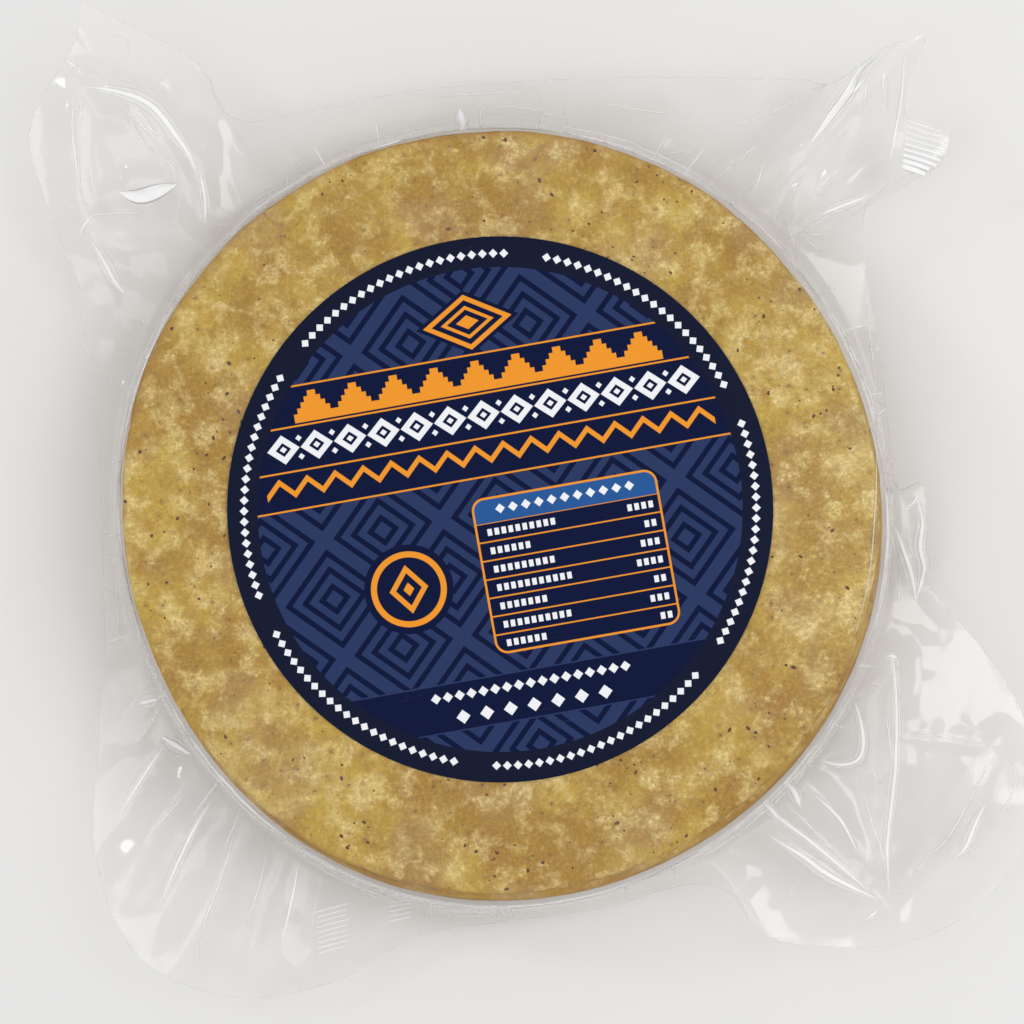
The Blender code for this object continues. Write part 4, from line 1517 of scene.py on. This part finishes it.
def fleck_tree(material):
    """A tree that scatters flat flecks over the top faces of a mesh, in loose clusters."""
    inputs = {"Density": "Float", "Least": "Float", "Most": "Float", "Seed": "Int"}
    tree, bench, wires = geometry_tree("flecks", inputs)
    place = bench.make("GeometryNodeInputPosition")
    upward = bench.split(bench.make("GeometryNodeInputNormal"))[2]
    clusters = bench.ease(bench.noise(place, CLUSTER_SIZE, 3.0, 0.6), 0.40, 0.70)
    points = bench.make(
        "GeometryNodeDistributePointsOnFaces",
        {"distribute_method": "RANDOM"},
        {
            "Mesh": wires["Geometry"],
            "Selection": upward > 0.8,
            "Density": wires["Density"] * (0.10 + clusters),
            "Seed": wires["Seed"],
        },
        "Points",
    )
    fleck = bench.make("GeometryNodeMeshIcoSphere", None, {"Radius": 1.0, "Subdivisions": 2}, "Mesh")
    size, length, turn = (
        bench.make("FunctionNodeRandomValue", {"data_type": "FLOAT"}, {"Seed": seed}, 1)
        for seed in FLECK_DRAW_SEEDS
    )
    size = wires["Least"] + (wires["Most"] - wires["Least"]) * (size**3.0)
    instances = bench.make(
        "GeometryNodeInstanceOnPoints",
        None,
        {
            "Points": points,
            "Instance": fleck,
            "Rotation": bench.join(0.0, 0.0, turn * math.tau),
            "Scale": bench.join(size * (1.0 + length * 0.9), size, FLECK_HEIGHT),
        },
    )
    end_tree(bench, instances, material)
    return tree


def make_flecks(tortilla, material):
    """The dark flecks on the top tortilla."""
    least, most = FLECK_SIZES
    values = {"Density": FLECK_DENSITY, "Least": least, "Most": most, "Seed": FLECK_SEED}
    return grow("tortilla_flecks", fleck_tree(material), values, tortilla.data.copy())


def make_label(material):
    """The round printed label: a thin sheet with a soft cut edge, lying on the film."""
    angles = np.arange(LABEL_SIDES) / LABEL_SIDES * math.tau
    low = PACK_HEIGHT + LABEL_LIFT
    high = low + LABEL_SHEET
    centre = np.array(LABEL_CENTRE) * MM
    outer = LABEL_RADIUS * MM
    rows = []
    for radius, height in (
        *((outer * share, high) for share in LABEL_SHARES),
        (outer - LABEL_BEVEL[0], high),
        (outer, high - LABEL_BEVEL[1]),
        (outer, low),
        (outer * 0.5, low),
    ):
        wander = LABEL_WANDER * np.sin(3 * angles + radius * 90) * min(1.0, radius / (20 * MM))
        rows.append(ring(angles, radius, height + wander, centre))
    return shell("label_sheet", rows, (*centre, high), (*centre, low), material)


def make_floor():
    """The pale table top."""
    material, bench, _ = new_material("pale_table")
    finish_material(bench, bench.coat((0.80, 0.795, 0.79, 1.0), 0.9, 0.2))
    corners = [(x * FLOOR_HALF, y * FLOOR_HALF, 0.0) for x, y in ((-1, -1), (1, -1), (1, 1), (-1, 1))]
    floor = new_piece("table_top", corners, [(0, 1, 2, 3)], material)


def make_light(name, place, width, power, colour):
    """A square softbox that faces the pack."""
    light = bpy.data.lights.new(name, "AREA")
    light.shape = "RECTANGLE"
    light.size = width
    light.size_y = width
    light.energy = power
    light.color = colour
    obj = bpy.data.objects.new(name, light)
    obj.location = place
    obj.rotation_euler = (-Vector(place)).to_track_quat("-Z", "Y").to_euler()
    bpy.context.scene.collection.objects.link(obj)


def make_sky():
    """The room's even light, brightest overhead."""
    world = bpy.data.worlds.new("studio")
    world.use_nodes = True
    world.node_tree.nodes.clear()
    bench = Bench(world.node_tree)
    direction = bench.make("ShaderNodeTexCoord", None, None, "Generated")
    height = bench.split(direction)[2]
    glow = bench.make("ShaderNodeValToRGB", {"stops": SKY_STOPS}, {"Fac": height}, "Color")
    sky = bench.make("ShaderNodeBackground", None, {"Color": glow, "Strength": SKY_STRENGTH})
    bench.make("ShaderNodeOutputWorld", None, {"Surface": sky})
    bpy.context.scene.world = world
    world.cycles.sampling_method = "NONE"


def make_camera():
    """The camera overhead, and how the picture is taken."""
    camera = bpy.data.cameras.new("overhead")
    camera.lens = CAMERA_LENS
    camera.sensor_width = CAMERA_SENSOR
    holder = bpy.data.objects.new("overhead", camera)
    holder.location = CAMERA_PLACE
    scene = bpy.context.scene
    scene.collection.objects.link(holder)
    scene.camera = holder
    scene.view_settings.view_transform = "Standard"
    # The film lies in several layers, and light needs few turns between them.
    scene.cycles.use_light_tree = False
    scene.cycles.max_bounces = 5
    scene.cycles.diffuse_bounces = 2
    scene.cycles.glossy_bounces = 2
    scene.cycles.transparent_max_bounces = 12
    scene.cycles.caustics_reflective = False
    scene.cycles.caustics_refractive = False


def main():
    """Builds every piece, and ties each to the pack's body."""
    make_sky()
    for name, softbox in SOFTBOXES.items():
        make_light(name, *softbox)
    make_camera()
    make_floor()

    films = {name: film_material(name, *finish) for name, finish in FILMS.items()}
    upper, lower = make_film(films["clear_film"])
    folds = make_film_lines(upper, films)
    tortillas = make_tortillas(tortilla_material())
    flecks = make_flecks(tortillas[-1], fleck_material())
    label = make_label(label_material())

    for piece in (upper, lower, *folds, flecks, label, *tortillas):
        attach(piece, "root")
    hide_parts("vacuum_pack")
    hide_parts("label")


main()
